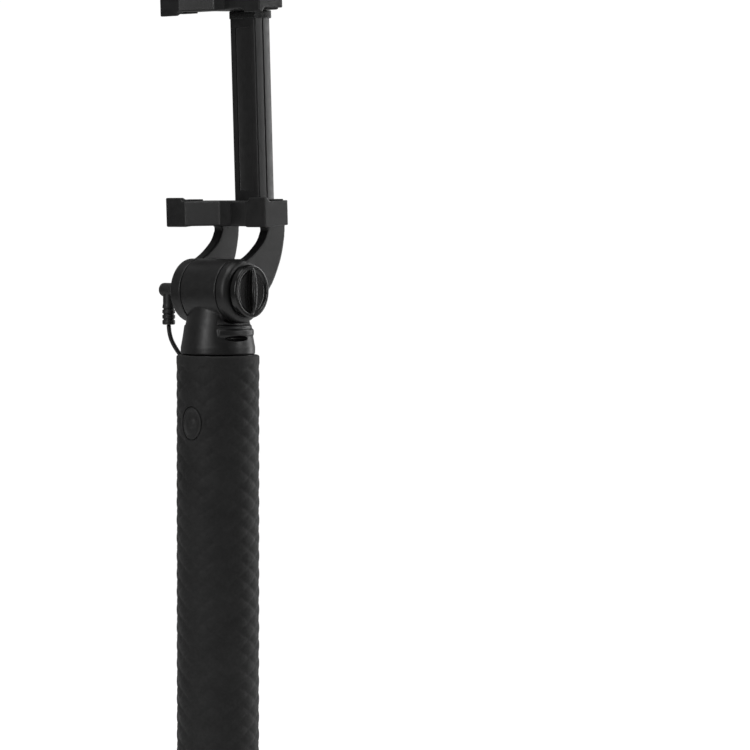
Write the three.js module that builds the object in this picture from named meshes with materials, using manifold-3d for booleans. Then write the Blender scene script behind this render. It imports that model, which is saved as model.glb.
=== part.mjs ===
// A wired selfie stick, closed up: handle, three telescopic tubes, hinged head with its parked
// phone lead, and a sprung phone clamp. Millimetres, +Z up. The origin is the middle of the end
// cap's flat underside, -Y is the side that faces the user, and +X is the knob's side.
import * as THREE from 'three';
import { mergeVertices } from 'three/addons/utils/BufferGeometryUtils.js';
import Module from 'manifold-3d';

const wasm = await Module();
wasm.setup();

// ---------------------------------------------------------------- sizes
// clearances
const restGap = 0.3; // between pieces that touch
const pressGap = 0.05; // between pieces fixed one inside the other
const runGap = 0.15; // between pieces that slide or turn
const washerGap = 0.2; // each side of a friction washer
const sinkDepth = 1; // how far a cutting tool runs past a face

// handle
const gripLength = 165;
const gripWall = 5; // soft sleeve outside the handle tube
const handleTubeWall = 1.6;
const handleBushWall = 0.9; // room for the bush between the handle tube and the first tube
const endCapHeight = 8;
const endCapSpigot = 6;
const endCapChamfer = 1.2;
const anchorHeight = 8;
const anchorBoreRadius = 1.2;

// ferrule at the grip's mouth
const ferruleRimWall = 0.8; // how far the rim stands outside the handle tube
const ferruleFlangeWidth = 2;
const ferruleFlangeDepth = 1.5;
const ferruleFlareHeight = 0.9;
const ferruleStand = 2;
const ferruleSpigot = 8.5;

// shutter button and its switch
const buttonDrop = 24; // from the grip's rim down to the button's middle
const buttonHalfWidth = 4.2;
const buttonHalfHeight = 5.8;
const buttonThickness = 1.8;
const buttonPostRadius = 1.2;
const buttonPostLength = 0.3;
const boardThickness = 0.6;
const boardHalfWidth = 4;
const boardHalfHeight = 7;
const switchSide = 4.4;
const switchHeight = 0.9;
const switchPlungerRadius = 0.9;
const switchPlungerHeight = 0.2;
const wireRadius = 0.5;

// telescopic tubes, outermost first
const topTubeRadius = 4.9;
const tubeNesting = 1.3; // each tube's radius over the one inside it
const tubeWall = 0.7;
const tubeStep = 2; // each tube's lower end above the one outside it
const bushLength = 10;
const mouthRingLength = 6;
const mouthLipHeight = 0.8;
const keywayWidth = 2.2;
const keywayDepth = 0.3;
const dimpleRadius = 2.2;
const dimpleDepth = 0.35;
const dimpleDrop = 5;
const innerCordClearance = 1;

// collar and hinge hub
const hingeRise = 23; // hinge axis above the grip's rim
const eyeRadius = 11.5;
const hubHalfWidth = 7.4;
const washerThickness = 0.5;
const washerRadius = 10.5;
const armThickness = 4.7;
const bladeThickness = 3;
const bladeInset = 1.4; // outward from the eye's inner face
const collarBandWall = 2.6; // outside the ferrule
const collarBandHeight = 2.8;
const collarBandStep = 0.15;
const collarShoulderRadius = 12.1;
const collarNeckRadius = 10;
const collarGap = 0.6; // collar's underside above the grip's rim
const shoulderRise = 10.7;
const neckRise = 17.5;
const tabWidth = 15;
const tabHeight = 2.4;
const tabInset = 0.4; // inside the collar's band
const tabRise = 7.1;
const tabSlotWidth = 12;
const tabSlotHeight = 2;
const tabSlotDepth = 1.6;
const tubeSocketDepth = 8.5;
const cordChamberWall = 0.2; // room round the inner cord
const cordChamberHeight = 3.4;
const headPinRadius = 1;
const headPinRise = 8;

// hinge hardware
const trunnionRadius = 4;
const trunnionFlangeRadius = 5.5;
const trunnionFlangeThickness = 1.2;
const trunnionEnd = -2.3;
const boltRadius = 2.5;
const boltEnd = 0.6;
const nutFlats = 8;
const nutThickness = 4;
const nutStart = 0.3;
const boltHeadThickness = 1.2;
const knobRadius = 9.5;
const knobThickness = 2.9;
const knobRim = 1.1;
const knobDish = 0.6;
const finThickness = 2;
const finLength = 16;
const finStand = 1.4;

// clamp, measured from the hinge axis; it leans forward a little as it is stored
const clampLean = 2.5; // degrees
const jawHalfWidth = 23.2;
const jawFront = -0.5;
const jawBack = 12.5;
const prongWidth = 9;
const crossFront = 5.2;
const jawThickness = 9.2;
const prongTaper = 0.3;
const slopeEnd = 2.5; // where the prongs' inner slopes meet the cross bar
const lipWidth = 8.1;
const lipLength = 3;
const lipHeight = 1.4;
const lipChamfer = 1.3;
const padWidth = 6.6;
const padLength = 6.6;
const padThickness = 1;
const padStand = 0.5;
const lowerJawTop = 32;
const upperJawBottom = 100.2;
const barHalfWidth = 6;
const barFront = 17.8;
const barDepth = 9.4;
const barWall = 1.6;
const barFloor = 4;
const barGrooveWidth = 0.8;
const barGrooveDepth = 0.4;
const capHeight = 2.4;
const capOverhang = 0.2;
const bridgeBack = 23.4;
const bridgeHeight = 8.9;
const bossStand = 0.8; // behind the bar
const upperBlockHalfWidth = 9;
const slideHalfWidth = 3.9;
const slideThickness = 2.6;
const slideTongue = 6;
const slideInsert = 31.9; // length of the slide inside the closed channel
const springRadius = 1.4;
const springHollow = 0.9;
const springSpread = 2.2;
const springPinRadius = 0.8;
const springPinRise = 6.6; // above the channel's foot
const screwRadius = 1.4;
const screwHeadRadius = 2.7;
const screwHeadDepth = 2.1;
const jawScrewSpread = 9.4;
const jawScrewRise = 27.8;
const jawScrewLength = 14;

// phone lead, its strain relief and its plug
const leadRadius = 0.8;
const reliefRadius = 2.4;
const reliefStemRadius = 1.4;
const reliefStemDepth = 6;
const reliefSide = -3;
const reliefRise = 13.7;
const plugPinRadius = 1.75;
const plugPinEnd = -1.2;
const plugBodyRadius = 2.5;
const plugBodyLength = 11.9;
const bootRadius = 2.35;
const bootNeckRadius = 1.8;
const bootLength = 7;
const bootRise = 10.3;
const bootSetback = 3.3; // boot's axis in from the plug's outer end

// ---------------------------------------------------------------- places worked out from the sizes
const tubeRadii = [2, 1, 0].map((layer) => topTubeRadius + layer * tubeNesting);
const handleBore = tubeRadii[0] + handleBushWall;
const handleTubeRadius = handleBore + handleTubeWall;
const gripRadius = handleTubeRadius + gripWall;
const ferruleRadius = handleTubeRadius + ferruleRimWall;
const ferruleFlangeRadius = ferruleRadius + ferruleFlangeWidth;
const collarBandRadius = ferruleRadius + collarBandWall;
const collarFootRadius = collarBandRadius - collarBandStep;
const tabReach = collarBandRadius - tabInset;
const innerCordRadius = topTubeRadius - tubeWall - innerCordClearance;
const gripBottom = endCapHeight + restGap;
const gripTop = gripBottom + gripLength;
const handleTubeTop = gripTop - ferruleFlangeDepth - restGap;
const anchorBottom = endCapHeight + endCapSpigot + restGap;
const anchorTop = anchorBottom + anchorHeight;
const hingeHeight = gripTop + hingeRise;
const eyeInner = hubHalfWidth + washerThickness + 2 * washerGap;
const eyeOuter = eyeInner + armThickness;
const recessTop = gripTop + ferruleStand + 3 * restGap + 2 * mouthLipHeight + restGap;
const tubeSocketTop = recessTop + tubeSocketDepth;
const lowerJawBottom = lowerJawTop - jawThickness;
const upperJawTop = upperJawBottom + jawThickness;
const bridgeBottom = lowerJawBottom - restGap;
const bridgeTop = bridgeBottom + bridgeHeight;
const barBottom = bridgeTop + restGap;
const capTop = upperJawBottom - restGap;
const barTop = capTop - capHeight - restGap;
const barBack = barFront + barDepth;
const barMiddle = barFront + barDepth / 2;
const bossBack = barBack + bossStand;
const springPinHeight = barBottom + springPinRise;
const slideBottom = barTop - slideInsert;
const buttonHeight = gripTop - buttonDrop;
const boardFace = handleTubeRadius + 0.4 + boardThickness;

// ---------------------------------------------------------------- materials
function material(color, roughness, metalness = 0) {
  return new THREE.MeshStandardMaterial({ color, roughness, metalness });
}
const gripRubber = material(0x202020, 0.75);
const buttonRubber = material(0x242424, 0.6);
const satinBlack = material(0x222222, 0.45);
const glossBlack = material(0x161616, 0.2);
const bushPlastic = material(0x1c1b1a, 0.5);
const padRubber = material(0x1d1d1d, 0.85);
const bronzeAluminium = material(0x80736b, 0.35, 0.9);
const plainAluminium = material(0xa6a8aa, 0.4, 0.9);
const zincSteel = material(0xb4b5b2, 0.35, 0.9);
const plugMetal = material(0xc8c9c6, 0.2, 1);
const leadJacket = material(0x181818, 0.5);
const boardGreen = material(0x1e4a30, 0.6);

// ---------------------------------------------------------------- shapes
function points2(list) {
  return list.map(([x, y]) => new THREE.Vector2(x, y));
}

// a body of revolution about Z, from (radius, height) points
function turned(profile, segments = 40) {
  return new THREE.LatheGeometry(points2(profile), segments).rotateX(Math.PI / 2);
}

// a straight sleeve about Z
function sleeve(outer, inner, low, high, segments = 40) {
  return turned([[inner, low], [outer, low], [outer, high], [inner, high], [inner, low]], segments);
}

function boxBetween(low, high) {
  const size = high.map((value, axis) => value - low[axis]);
  const middle = high.map((value, axis) => (value + low[axis]) / 2);
  return new THREE.BoxGeometry(...size).translate(...middle);
}

// round or many-sided bars along each axis
function rodX(radius, start, end, y = 0, z = 0, sides = 32) {
  const rod = new THREE.CylinderGeometry(radius, radius, end - start, sides);
  return rod.rotateZ(Math.PI / 2).translate((start + end) / 2, y, z);
}

function rodY(radius, start, end, x = 0, z = 0, sides = 24) {
  const rod = new THREE.CylinderGeometry(radius, radius, end - start, sides);
  return rod.translate(x, (start + end) / 2, z);
}

function rodZ(radius, start, end, x = 0, y = 0, sides = 32) {
  const rod = new THREE.CylinderGeometry(radius, radius, end - start, sides);
  return rod.rotateX(Math.PI / 2).translate(x, y, (start + end) / 2);
}

// a side view in (Y, Z) given thickness along X
function sideExtrude(shape, start, end, curveSegments = 6) {
  const geometry = new THREE.ExtrudeGeometry(shape, {
    depth: end - start, bevelEnabled: false, curveSegments,
  });
  const turn = new THREE.Matrix4().set(0, 0, 1, 0, 1, 0, 0, 0, 0, 1, 0, 0, 0, 0, 0, 1);
  return geometry.applyMatrix4(turn).translate(start, 0, 0);
}

// a round tube along a curve
function alongCurve(radius, curve, steps, sides) {
  const section = new THREE.Shape();
  for (let side = 0; side < sides; side += 1) {
    const angle = (2 * Math.PI * side) / sides;
    const corner = [radius * Math.cos(angle), radius * Math.sin(angle)];
    if (side === 0) section.moveTo(...corner);
    else section.lineTo(...corner);
  }
  section.closePath();
  return new THREE.ExtrudeGeometry(section, { steps, bevelEnabled: false, extrudePath: curve });
}

function toSolid(geometry) {
  const bare = geometry.clone();
  bare.deleteAttribute('normal');
  bare.deleteAttribute('uv');
  const merged = mergeVertices(bare, 1e-4);
  return new wasm.Manifold(new wasm.Mesh({
    numProp: 3,
    vertProperties: new Float32Array(merged.attributes.position.array),
    triVerts: new Uint32Array(merged.index.array),
  }));
}

function toGeometry(solid) {
  const mesh = solid.getMesh();
  const geometry = new THREE.BufferGeometry();
  geometry.setAttribute('position', new THREE.BufferAttribute(mesh.vertProperties, 3));
  geometry.setIndex(new THREE.BufferAttribute(mesh.triVerts, 1));
  geometry.computeVertexNormals();
  return geometry;
}

function join(first, ...others) {
  const solid = others.reduce((sum, other) => sum.add(toSolid(other)), toSolid(first));
  return toGeometry(solid);
}

function cut(body, ...tools) {
  const solid = tools.reduce((rest, tool) => rest.subtract(toSolid(tool)), toSolid(body));
  return toGeometry(solid);
}

function common(first, second) {
  return toGeometry(toSolid(first).intersect(toSolid(second)));
}

function add(group, name, geometry, finish) {
  const mesh = new THREE.Mesh(geometry, finish);
  mesh.name = name;
  group.add(mesh);
}

// ---------------------------------------------------------------- handle
function gripSleeve() {
  const bore = handleTubeRadius + pressGap;
  const body = sleeve(gripRadius, bore, gripBottom, gripTop, 48);
  const ferruleSeat = rodZ(
    ferruleFlangeRadius + restGap, handleTubeTop, gripTop + sinkDepth, 0, 0, 40,
  );
  const pocket = boxBetween(
    [-boardHalfWidth - restGap, -gripRadius + 1.4, buttonHeight - boardHalfHeight - restGap],
    [boardHalfWidth + restGap, 0, buttonHeight + boardHalfHeight + restGap],
  );
  const wireGroove = boxBetween(
    [-wireRadius - restGap, -handleTubeRadius - 2 * wireRadius - 2 * restGap, gripBottom - sinkDepth],
    [wireRadius + restGap, 0, buttonHeight],
  );
  return cut(body, ferruleSeat, pocket, wireGroove, buttonOval(restGap, sinkDepth));
}

// the button's oval, standing through the front of the grip
function buttonOval(grow, past) {
  const length = buttonThickness + past;
  const oval = new THREE.CylinderGeometry(1, 1, length, 40);
  oval.scale(buttonHalfWidth + grow, 1, buttonHalfHeight + grow);
  return oval.translate(0, -gripRadius + buttonThickness - length / 2, buttonHeight);
}

function shutterButton() {
  const face = rodZ(gripRadius, buttonHeight - gripRadius, buttonHeight + gripRadius, 0, 0, 48);
  const back = -gripRadius + buttonThickness;
  const post = rodY(buttonPostRadius, back - sinkDepth, back + buttonPostLength, 0, buttonHeight);
  return join(common(buttonOval(0, sinkDepth), face), post);
}

function topFerrule() {
  const bore = tubeRadii[0] + runGap;
  const spigot = handleBore - pressGap;
  const seat = gripTop - ferruleFlangeDepth;
  const flare = gripTop + ferruleFlareHeight;
  return turned([
    [bore, seat - ferruleSpigot],
    [spigot, seat - ferruleSpigot],
    [spigot, seat],
    [ferruleFlangeRadius, seat],
    [ferruleFlangeRadius, gripTop + 0.1],
    [ferruleRadius + 0.6, gripTop + 0.3],
    [ferruleRadius, flare],
    [ferruleRadius, gripTop + ferruleStand - 0.3],
    [ferruleRadius - 0.3, gripTop + ferruleStand],
    [bore, gripTop + ferruleStand],
    [bore, seat - ferruleSpigot],
  ]);
}

function endCap() {
  const spigot = handleBore - pressGap;
  return turned([
    [0, 0],
    [gripRadius - endCapChamfer, 0],
    [gripRadius, endCapChamfer],
    [gripRadius, endCapHeight],
    [spigot, endCapHeight],
    [spigot, endCapHeight + endCapSpigot],
    [0, endCapHeight + endCapSpigot],
  ]);
}

function switchBoard() {
  return boxBetween(
    [-boardHalfWidth, -boardFace, buttonHeight - boardHalfHeight],
    [boardHalfWidth, -boardFace + boardThickness, buttonHeight + boardHalfHeight],
  );
}

function tactSwitch() {
  const top = -boardFace - switchHeight;
  const body = boxBetween(
    [-switchSide / 2, top, buttonHeight - switchSide / 2],
    [switchSide / 2, -boardFace - pressGap, buttonHeight + switchSide / 2],
  );
  const plungerTop = top - switchPlungerHeight;
  const plunger = rodY(switchPlungerRadius, plungerTop, top + switchHeight / 2, 0, buttonHeight);
  return join(body, plunger);
}

function switchWire() {
  const middle = -handleTubeRadius - wireRadius - runGap;
  return rodZ(wireRadius, gripBottom, buttonHeight - boardHalfHeight - restGap, 0, middle, 10);
}

function buildHandle(group) {
  add(group, 'grip_sleeve', gripSleeve(), gripRubber);
  add(group, 'handle_tube', sleeve(handleTubeRadius, handleBore, gripBottom, handleTubeTop), plainAluminium);
  add(group, 'top_ferrule', topFerrule(), glossBlack);
  add(group, 'end_cap', endCap(), satinBlack);
  const anchor = sleeve(handleBore - pressGap, anchorBoreRadius, anchorBottom, anchorTop);
  add(group, 'cord_anchor', anchor, bushPlastic);
  add(group, 'switch_board', switchBoard(), boardGreen);
  add(group, 'tact_switch', tactSwitch(), zincSteel);
  add(group, 'switch_wire', switchWire(), leadJacket);
  add(group, 'shutter_button', shutterButton(), buttonRubber);
}

// ---------------------------------------------------------------- telescopic tubes
function tubeBottom(index) {
  return anchorTop + tubeStep * (index + 1);
}

// the outer tubes stop in the collar's recess, one above the other; the last one enters the socket
function tubeTop(index) {
  if (index === tubeRadii.length - 1) return tubeSocketTop - restGap;
  return gripTop + ferruleStand + (index + 1) * restGap + index * mouthLipHeight;
}

function telescopeTube(index) {
  const radius = tubeRadii[index];
  const low = tubeBottom(index);
  const high = tubeTop(index);
  const keyway = boxBetween(
    [radius - keywayDepth, -keywayWidth / 2, low + bushLength],
    [radius + sinkDepth, keywayWidth / 2, high - dimpleDrop],
  );
  const dimple = new THREE.SphereGeometry(dimpleRadius, 16, 10);
  dimple.translate(radius + dimpleRadius - dimpleDepth, 0, high - dimpleDrop);
  const tube = sleeve(radius, radius - tubeWall, low, high);
  // the last tube has no mouth: it is pinned in the head
  return index === tubeRadii.length - 1 ? cut(tube, keyway, headPinHole()) : cut(tube, keyway, dimple);
}

// the pin goes in from the back, through the collar and the tube's rear wall
function headPinHole() {
  return rodY(headPinRadius + pressGap, 1, collarBandRadius, 0, gripTop + headPinRise);
}

// the bush outside each tube's lower end runs in the bore of the tube around it
function tubeBush(index) {
  const boreAround = index === 0 ? handleBore : tubeRadii[index - 1] - tubeWall;
  const low = tubeBottom(index);
  return sleeve(boreAround - runGap, tubeRadii[index] + pressGap, low, low + bushLength, 32);
}

// the ring in each tube's mouth guides the next tube and stops its bush
function mouthRing(index) {
  const inner = tubeRadii[index + 1] + runGap;
  const outer = tubeRadii[index] - tubeWall - pressGap;
  const mouth = tubeTop(index);
  return turned([
    [inner, mouth - mouthRingLength],
    [outer, mouth - mouthRingLength],
    [outer, mouth + pressGap],
    [tubeRadii[index], mouth + pressGap],
    [tubeRadii[index], mouth + mouthLipHeight - 0.2],
    [tubeRadii[index] - 0.3, mouth + mouthLipHeight],
    [inner, mouth + mouthLipHeight],
    [inner, mouth - mouthRingLength],
  ], 32);
}

function buildTubes(group) {
  tubeRadii.forEach((radius, index) => {
    add(group, `tube_${index + 1}`, telescopeTube(index), bronzeAluminium);
    add(group, `tube_${index + 1}_bush`, tubeBush(index), bushPlastic);
    if (index < tubeRadii.length - 1) {
      add(group, `tube_${index + 1}_mouth_ring`, mouthRing(index), bushPlastic);
    }
  });
  const cordLow = tubeBottom(tubeRadii.length - 1) + tubeStep;
  add(group, 'inner_cord', rodZ(innerCordRadius, cordLow, tubeSocketTop - tubeStep, 0, 0, 16), leadJacket);
}

// ---------------------------------------------------------------- head
function collar() {
  const foot = gripTop + collarGap;
  const bandTop = foot + collarBandHeight;
  return turned([
    [0, foot],
    [collarBandRadius - 0.3, foot],
    [collarBandRadius, foot + 0.3],
    [collarBandRadius, bandTop - 0.2],
    [collarFootRadius, bandTop + 0.2],
    [(collarFootRadius + collarShoulderRadius) / 2, gripTop + (collarBandHeight + shoulderRise) / 2],
    [collarShoulderRadius, gripTop + shoulderRise],
    [(collarShoulderRadius + collarNeckRadius) / 2 + 0.2, gripTop + (shoulderRise + neckRise) / 2],
    [collarNeckRadius, gripTop + neckRise],
    [0, gripTop + neckRise],
  ], 48);
}

// the two shoulders are cut away beside the hub, so that the fork's eyes can turn
function shoulderCut(side) {
  const inner = side * hubHalfWidth;
  const outer = side * (collarBandRadius + sinkDepth);
  return boxBetween(
    [Math.min(inner, outer), -collarBandRadius, gripTop + shoulderRise],
    [Math.max(inner, outer), collarBandRadius, hingeHeight],
  );
}

function headBody() {
  const hub = rodX(eyeRadius, -hubHalfWidth, hubHalfWidth, 0, hingeHeight, 48);
  const tabLow = gripTop + tabRise;
  const tabHigh = tabLow + tabHeight;
  const tabSpan = boxBetween([hubHalfWidth, -tabWidth / 2, tabLow], [tabReach, tabWidth / 2, tabHigh]);
  const tab = common(rodZ(tabReach, tabLow, tabHigh, 0, 0, 48), tabSpan);
  const tabSlot = boxBetween(
    [collarFootRadius - tabSlotDepth, -tabSlotWidth / 2, tabLow - tabSlotHeight],
    [tabReach + sinkDepth, tabSlotWidth / 2, tabLow],
  );
  const recess = rodZ(ferruleRadius + 2 * restGap, gripTop, recessTop, 0, 0, 40);
  const tubeSocket = rodZ(tubeRadii[2] + pressGap, gripTop, tubeSocketTop, 0, 0, 40);
  const chamberTop = tubeSocketTop + cordChamberHeight;
  const chamber = rodZ(innerCordRadius + cordChamberWall, gripTop, chamberTop, 0, 0, 24);
  const reliefBore = rodY(
    reliefStemRadius + restGap, 0, collarBandRadius, reliefSide, gripTop + reliefRise, 20,
  );
  const trunnionBore = rodX(trunnionRadius + runGap, -hubHalfWidth - sinkDepth, 0, 0, hingeHeight);
  const boltBore = rodX(boltRadius + runGap, 0, hubHalfWidth + sinkDepth, 0, hingeHeight);
  const trimmed = cut(collar(), shoulderCut(1), shoulderCut(-1));
  return cut(
    join(trimmed, hub, tab),
    tabSlot, recess, tubeSocket, chamber, reliefBore, trunnionBore, boltBore, headPinHole(), nutPocket(),
  );
}

function hexBar(flats, start, end) {
  return rodX(flats / Math.sqrt(3), start, end, 0, hingeHeight, 6);
}

function nutPocket() {
  return hexBar(nutFlats + 2 * runGap, trunnionEnd, nutStart + nutThickness + runGap);
}

function hingeNut() {
  const body = hexBar(nutFlats, nutStart, nutStart + nutThickness);
  const bore = rodX(boltRadius + runGap, nutStart - 1, nutStart + nutThickness + 1, 0, hingeHeight);
  return cut(body, bore);
}

function headPin() {
  const start = tubeRadii[2] - tubeWall;
  return rodY(headPinRadius, start, collarShoulderRadius - 0.5, 0, gripTop + headPinRise);
}

// a hollow trunnion: the fork's left eye turns on it, and the plug is parked in its bore
function parkingBush() {
  const flangeStart = -eyeOuter - restGap;
  const flangeEnd = flangeStart - trunnionFlangeThickness;
  const journal = rodX(trunnionRadius, flangeStart - 0.2, trunnionEnd, 0, hingeHeight);
  const flange = rodX(trunnionFlangeRadius, flangeEnd, flangeStart, 0, hingeHeight);
  const bore = rodX(plugPinRadius + 0.2, flangeEnd - sinkDepth, 0, 0, hingeHeight, 24);
  return cut(join(journal, flange), bore);
}

function frictionWasher(side) {
  const near = hubHalfWidth + washerGap;
  const far = near + washerThickness;
  const start = side > 0 ? near : -far;
  const end = start + washerThickness;
  const disc = rodX(washerRadius, start, end, 0, hingeHeight, 40);
  const hole = rodX(trunnionRadius + restGap, start - sinkDepth, end + sinkDepth, 0, hingeHeight);
  return cut(disc, hole);
}

function buildHead(group) {
  add(group, 'head_body', headBody(), satinBlack);
  add(group, 'head_pin', headPin(), zincSteel);
  add(group, 'hinge_nut', hingeNut(), zincSteel);
  add(group, 'parking_bush', parkingBush(), glossBlack);
  add(group, 'friction_washer_left', frictionWasher(-1), bushPlastic);
  add(group, 'friction_washer_right', frictionWasher(1), bushPlastic);
}

// ---------------------------------------------------------------- knob and bolt
const knobBack = eyeOuter + restGap;
const knobFront = knobBack + knobThickness;
const boltHeadStart = knobBack + 0.2;

// a dished disc with a finger fin across it
function knob() {
  const disc = turned([
    [0, knobBack],
    [knobRadius - 0.6, knobBack],
    [knobRadius, knobBack + 0.6],
    [knobRadius, knobFront - 0.5],
    [knobRadius - 0.5, knobFront],
    [knobRadius - knobRim, knobFront],
    [knobRadius - 2 * knobRim, knobFront - knobDish],
    [0, knobFront - knobDish],
  ]).rotateY(Math.PI / 2).translate(0, 0, hingeHeight);
  const fin = boxBetween(
    [knobFront - 2 * knobDish, -finThickness / 2, hingeHeight - finLength / 2],
    [knobFront + finStand, finThickness / 2, hingeHeight + finLength / 2],
  );
  const headPocket = rodX(
    nutFlats / Math.sqrt(3) + restGap, knobBack - sinkDepth, boltHeadStart + boltHeadThickness + 0.2,
    0, hingeHeight,
  );
  return cut(join(disc, fin), headPocket);
}

function hingeBolt() {
  const head = hexBar(nutFlats, boltHeadStart, boltHeadStart + boltHeadThickness);
  return join(head, rodX(boltRadius, boltEnd, boltHeadStart + 0.5, 0, hingeHeight));
}

function buildKnob(group) {
  add(group, 'knob', knob(), glossBlack);
  add(group, 'hinge_bolt', hingeBolt(), zincSteel);
}

// ---------------------------------------------------------------- clamp, in hinge coordinates
function clampArm(side) {
  const outline = new THREE.Shape();
  outline.moveTo(9.2, -6);
  outline.splineThru(points2([
    [12.5, -2.2], [13.9, 0], [15.9, 2.6], [18.3, 6.7], [20.4, 11.2], [21.7, 15.9], [22.6, 20.7],
    [bridgeBack - 0.4, bridgeTop - 1],
  ]));
  outline.lineTo(13.8, bridgeTop - 1);
  outline.lineTo(13.8, bridgeBottom - 1.6);
  outline.splineThru(points2([[11.5, 17.3], [6.6, 13.6], [1.5, 11]]));
  outline.lineTo(0, 0);
  outline.closePath();
  const start = side > 0 ? eyeInner : -eyeOuter;
  const bladeStart = side > 0 ? eyeInner + bladeInset : -eyeInner - bladeInset - bladeThickness;
  const blade = sideExtrude(outline, bladeStart, bladeStart + bladeThickness, 4);
  const eye = rodX(eyeRadius, start, start + armThickness, 0, 0, 48);
  const boreRadius = side > 0 ? boltRadius : trunnionRadius;
  const bore = rodX(boreRadius + runGap, start - sinkDepth, start + armThickness + sinkDepth);
  return cut(join(blade, eye), bore);
}

function jawScrewHole(side) {
  const radius = screwRadius + runGap;
  return rodY(radius, crossFront + 1.2, bridgeBack + sinkDepth, side * jawScrewSpread, jawScrewRise);
}

function clampFork() {
  const bridge = boxBetween([-eyeOuter, jawBack + restGap, bridgeBottom], [eyeOuter, bridgeBack, bridgeTop]);
  const boss = boxBetween([-barHalfWidth, barFront, bridgeBottom], [barHalfWidth, bossBack, bridgeTop]);
  const headSeats = [-1, 1].map((side) => rodY(
    screwHeadRadius + restGap, bridgeBack - screwHeadDepth - restGap, bridgeBack + sinkDepth,
    side * jawScrewSpread, jawScrewRise,
  ));
  const barHole = rodZ(screwRadius + runGap, bridgeBottom - 1, bridgeTop + 1, 0, barMiddle, 24);
  const barSeat = rodZ(
    screwHeadRadius + restGap, bridgeBottom - 1, bridgeBottom + screwHeadDepth + 0.5, 0, barMiddle, 24,
  );
  return cut(
    join(clampArm(-1), clampArm(1), bridge, boss),
    jawScrewHole(-1), jawScrewHole(1), ...headSeats, barHole, barSeat,
  );
}

// one jaw seen from the side: a prong whose tip carries a lip that keeps the phone in.
// face is the height of the surface that meets the phone, and way points from there into the jaw
function prong(side, face, way) {
  const deep = face + way * jawThickness;
  const bar = new THREE.Shape(points2([
    [jawFront, deep], [crossFront + 1, deep - way * prongTaper], [crossFront + 1, face], [jawFront, face],
  ]));
  const lip = new THREE.Shape(points2([
    [jawFront, face + way], [jawFront, face - way * lipHeight],
    [jawFront + lipLength - lipChamfer, face - way * lipHeight], [jawFront + lipLength, face],
    [jawFront + lipLength, face + way],
  ]));
  const outer = side * jawHalfWidth;
  const barInner = side * (jawHalfWidth - prongWidth);
  const lipInner = side * (jawHalfWidth - lipWidth);
  return join(
    sideExtrude(bar, Math.min(outer, barInner), Math.max(outer, barInner)),
    sideExtrude(lip, Math.min(outer, lipInner), Math.max(outer, lipInner)),
  );
}

// the space a pad takes, grown by a gap where it is cut from the jaw
function padBox(side, face, way, gap = 0) {
  const middleX = side * (jawHalfWidth - prongWidth / 2);
  const front = jawBack - 1 - padLength;
  const proud = padStand + (gap ? sinkDepth : 0);
  const heights = [face - way * proud, face + way * (padThickness - padStand + gap)];
  return boxBetween(
    [middleX - padWidth / 2 - gap, front - gap, Math.min(...heights)],
    [middleX + padWidth / 2 + gap, front + padLength + gap, Math.max(...heights)],
  );
}

// the slope from a prong's inner edge back to the cross bar, seen from above
function prongSlope(side, low, high) {
  const inner = side * (jawHalfWidth - prongWidth);
  const root = crossFront + 1;
  const outline = new THREE.Shape(points2([
    [inner + side, jawFront], [inner, jawFront], [side * slopeEnd, crossFront],
    [side * slopeEnd, root], [inner + side, root],
  ]));
  const depth = high - low;
  return new THREE.ExtrudeGeometry(outline, { depth, bevelEnabled: false }).translate(0, 0, low);
}

function jaw(face, way) {
  const depth = [face, face + way * (jawThickness - prongTaper)];
  const low = Math.min(...depth);
  const high = Math.max(...depth);
  const cross = boxBetween([-jawHalfWidth, crossFront, low], [jawHalfWidth, jawBack, high]);
  const slopes = [-1, 1].map((side) => prongSlope(side, low, high));
  const body = join(cross, prong(-1, face, way), prong(1, face, way), ...slopes);
  return cut(body, padBox(-1, face, way, restGap), padBox(1, face, way, restGap));
}

function lowerJaw() {
  return cut(jaw(lowerJawTop, -1), jawScrewHole(-1), jawScrewHole(1));
}

function rearScrew(x, z, length, headFace) {
  const head = rodY(screwHeadRadius, headFace - screwHeadDepth, headFace, x, z);
  return join(head, rodY(screwRadius, headFace - screwHeadDepth - length, headFace - 1, x, z));
}

function buildFork(group) {
  add(group, 'clamp_fork', clampFork(), satinBlack);
  add(group, 'lower_jaw', lowerJaw(), satinBlack);
  const sides = [['left', -1], ['right', 1]];
  sides.forEach(([word, side]) => {
    const screw = rearScrew(side * jawScrewSpread, jawScrewRise, jawScrewLength, bridgeBack - restGap);
    add(group, `lower_jaw_screw_${word}`, screw, zincSteel);
    add(group, `lower_pad_${word}`, padBox(side, lowerJawTop, -1), padRubber);
  });
}

function barChannel() {
  const body = boxBetween([-barHalfWidth, barFront, barBottom], [barHalfWidth, barBack, barTop]);
  const hollow = boxBetween(
    [-barHalfWidth + barWall, barFront + barWall, barBottom + barFloor],
    [barHalfWidth - barWall, barBack - barWall, barTop + sinkDepth],
  );
  const slot = boxBetween(
    [-barHalfWidth + 1.5 * barWall, barMiddle, barBottom + barFloor],
    [barHalfWidth - 1.5 * barWall, barBack + sinkDepth, barTop + sinkDepth],
  );
  const grooves = [-1, 1].map((side) => boxBetween(
    [Math.min(side * (barHalfWidth - barGrooveDepth), side * (barHalfWidth + sinkDepth)),
      barMiddle - barGrooveWidth, barBottom - sinkDepth],
    [Math.max(side * (barHalfWidth - barGrooveDepth), side * (barHalfWidth + sinkDepth)),
      barMiddle, barTop + sinkDepth],
  ));
  const screwHole = rodZ(screwRadius + runGap, barBottom - 1, barBottom + barFloor + 1, 0, barMiddle, 24);
  const pinHole = rodX(
    springPinRadius + pressGap, -barHalfWidth - sinkDepth, barHalfWidth + sinkDepth,
    barMiddle, springPinHeight, 16,
  );
  return cut(body, hollow, slot, ...grooves, screwHole, pinHole);
}

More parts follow.
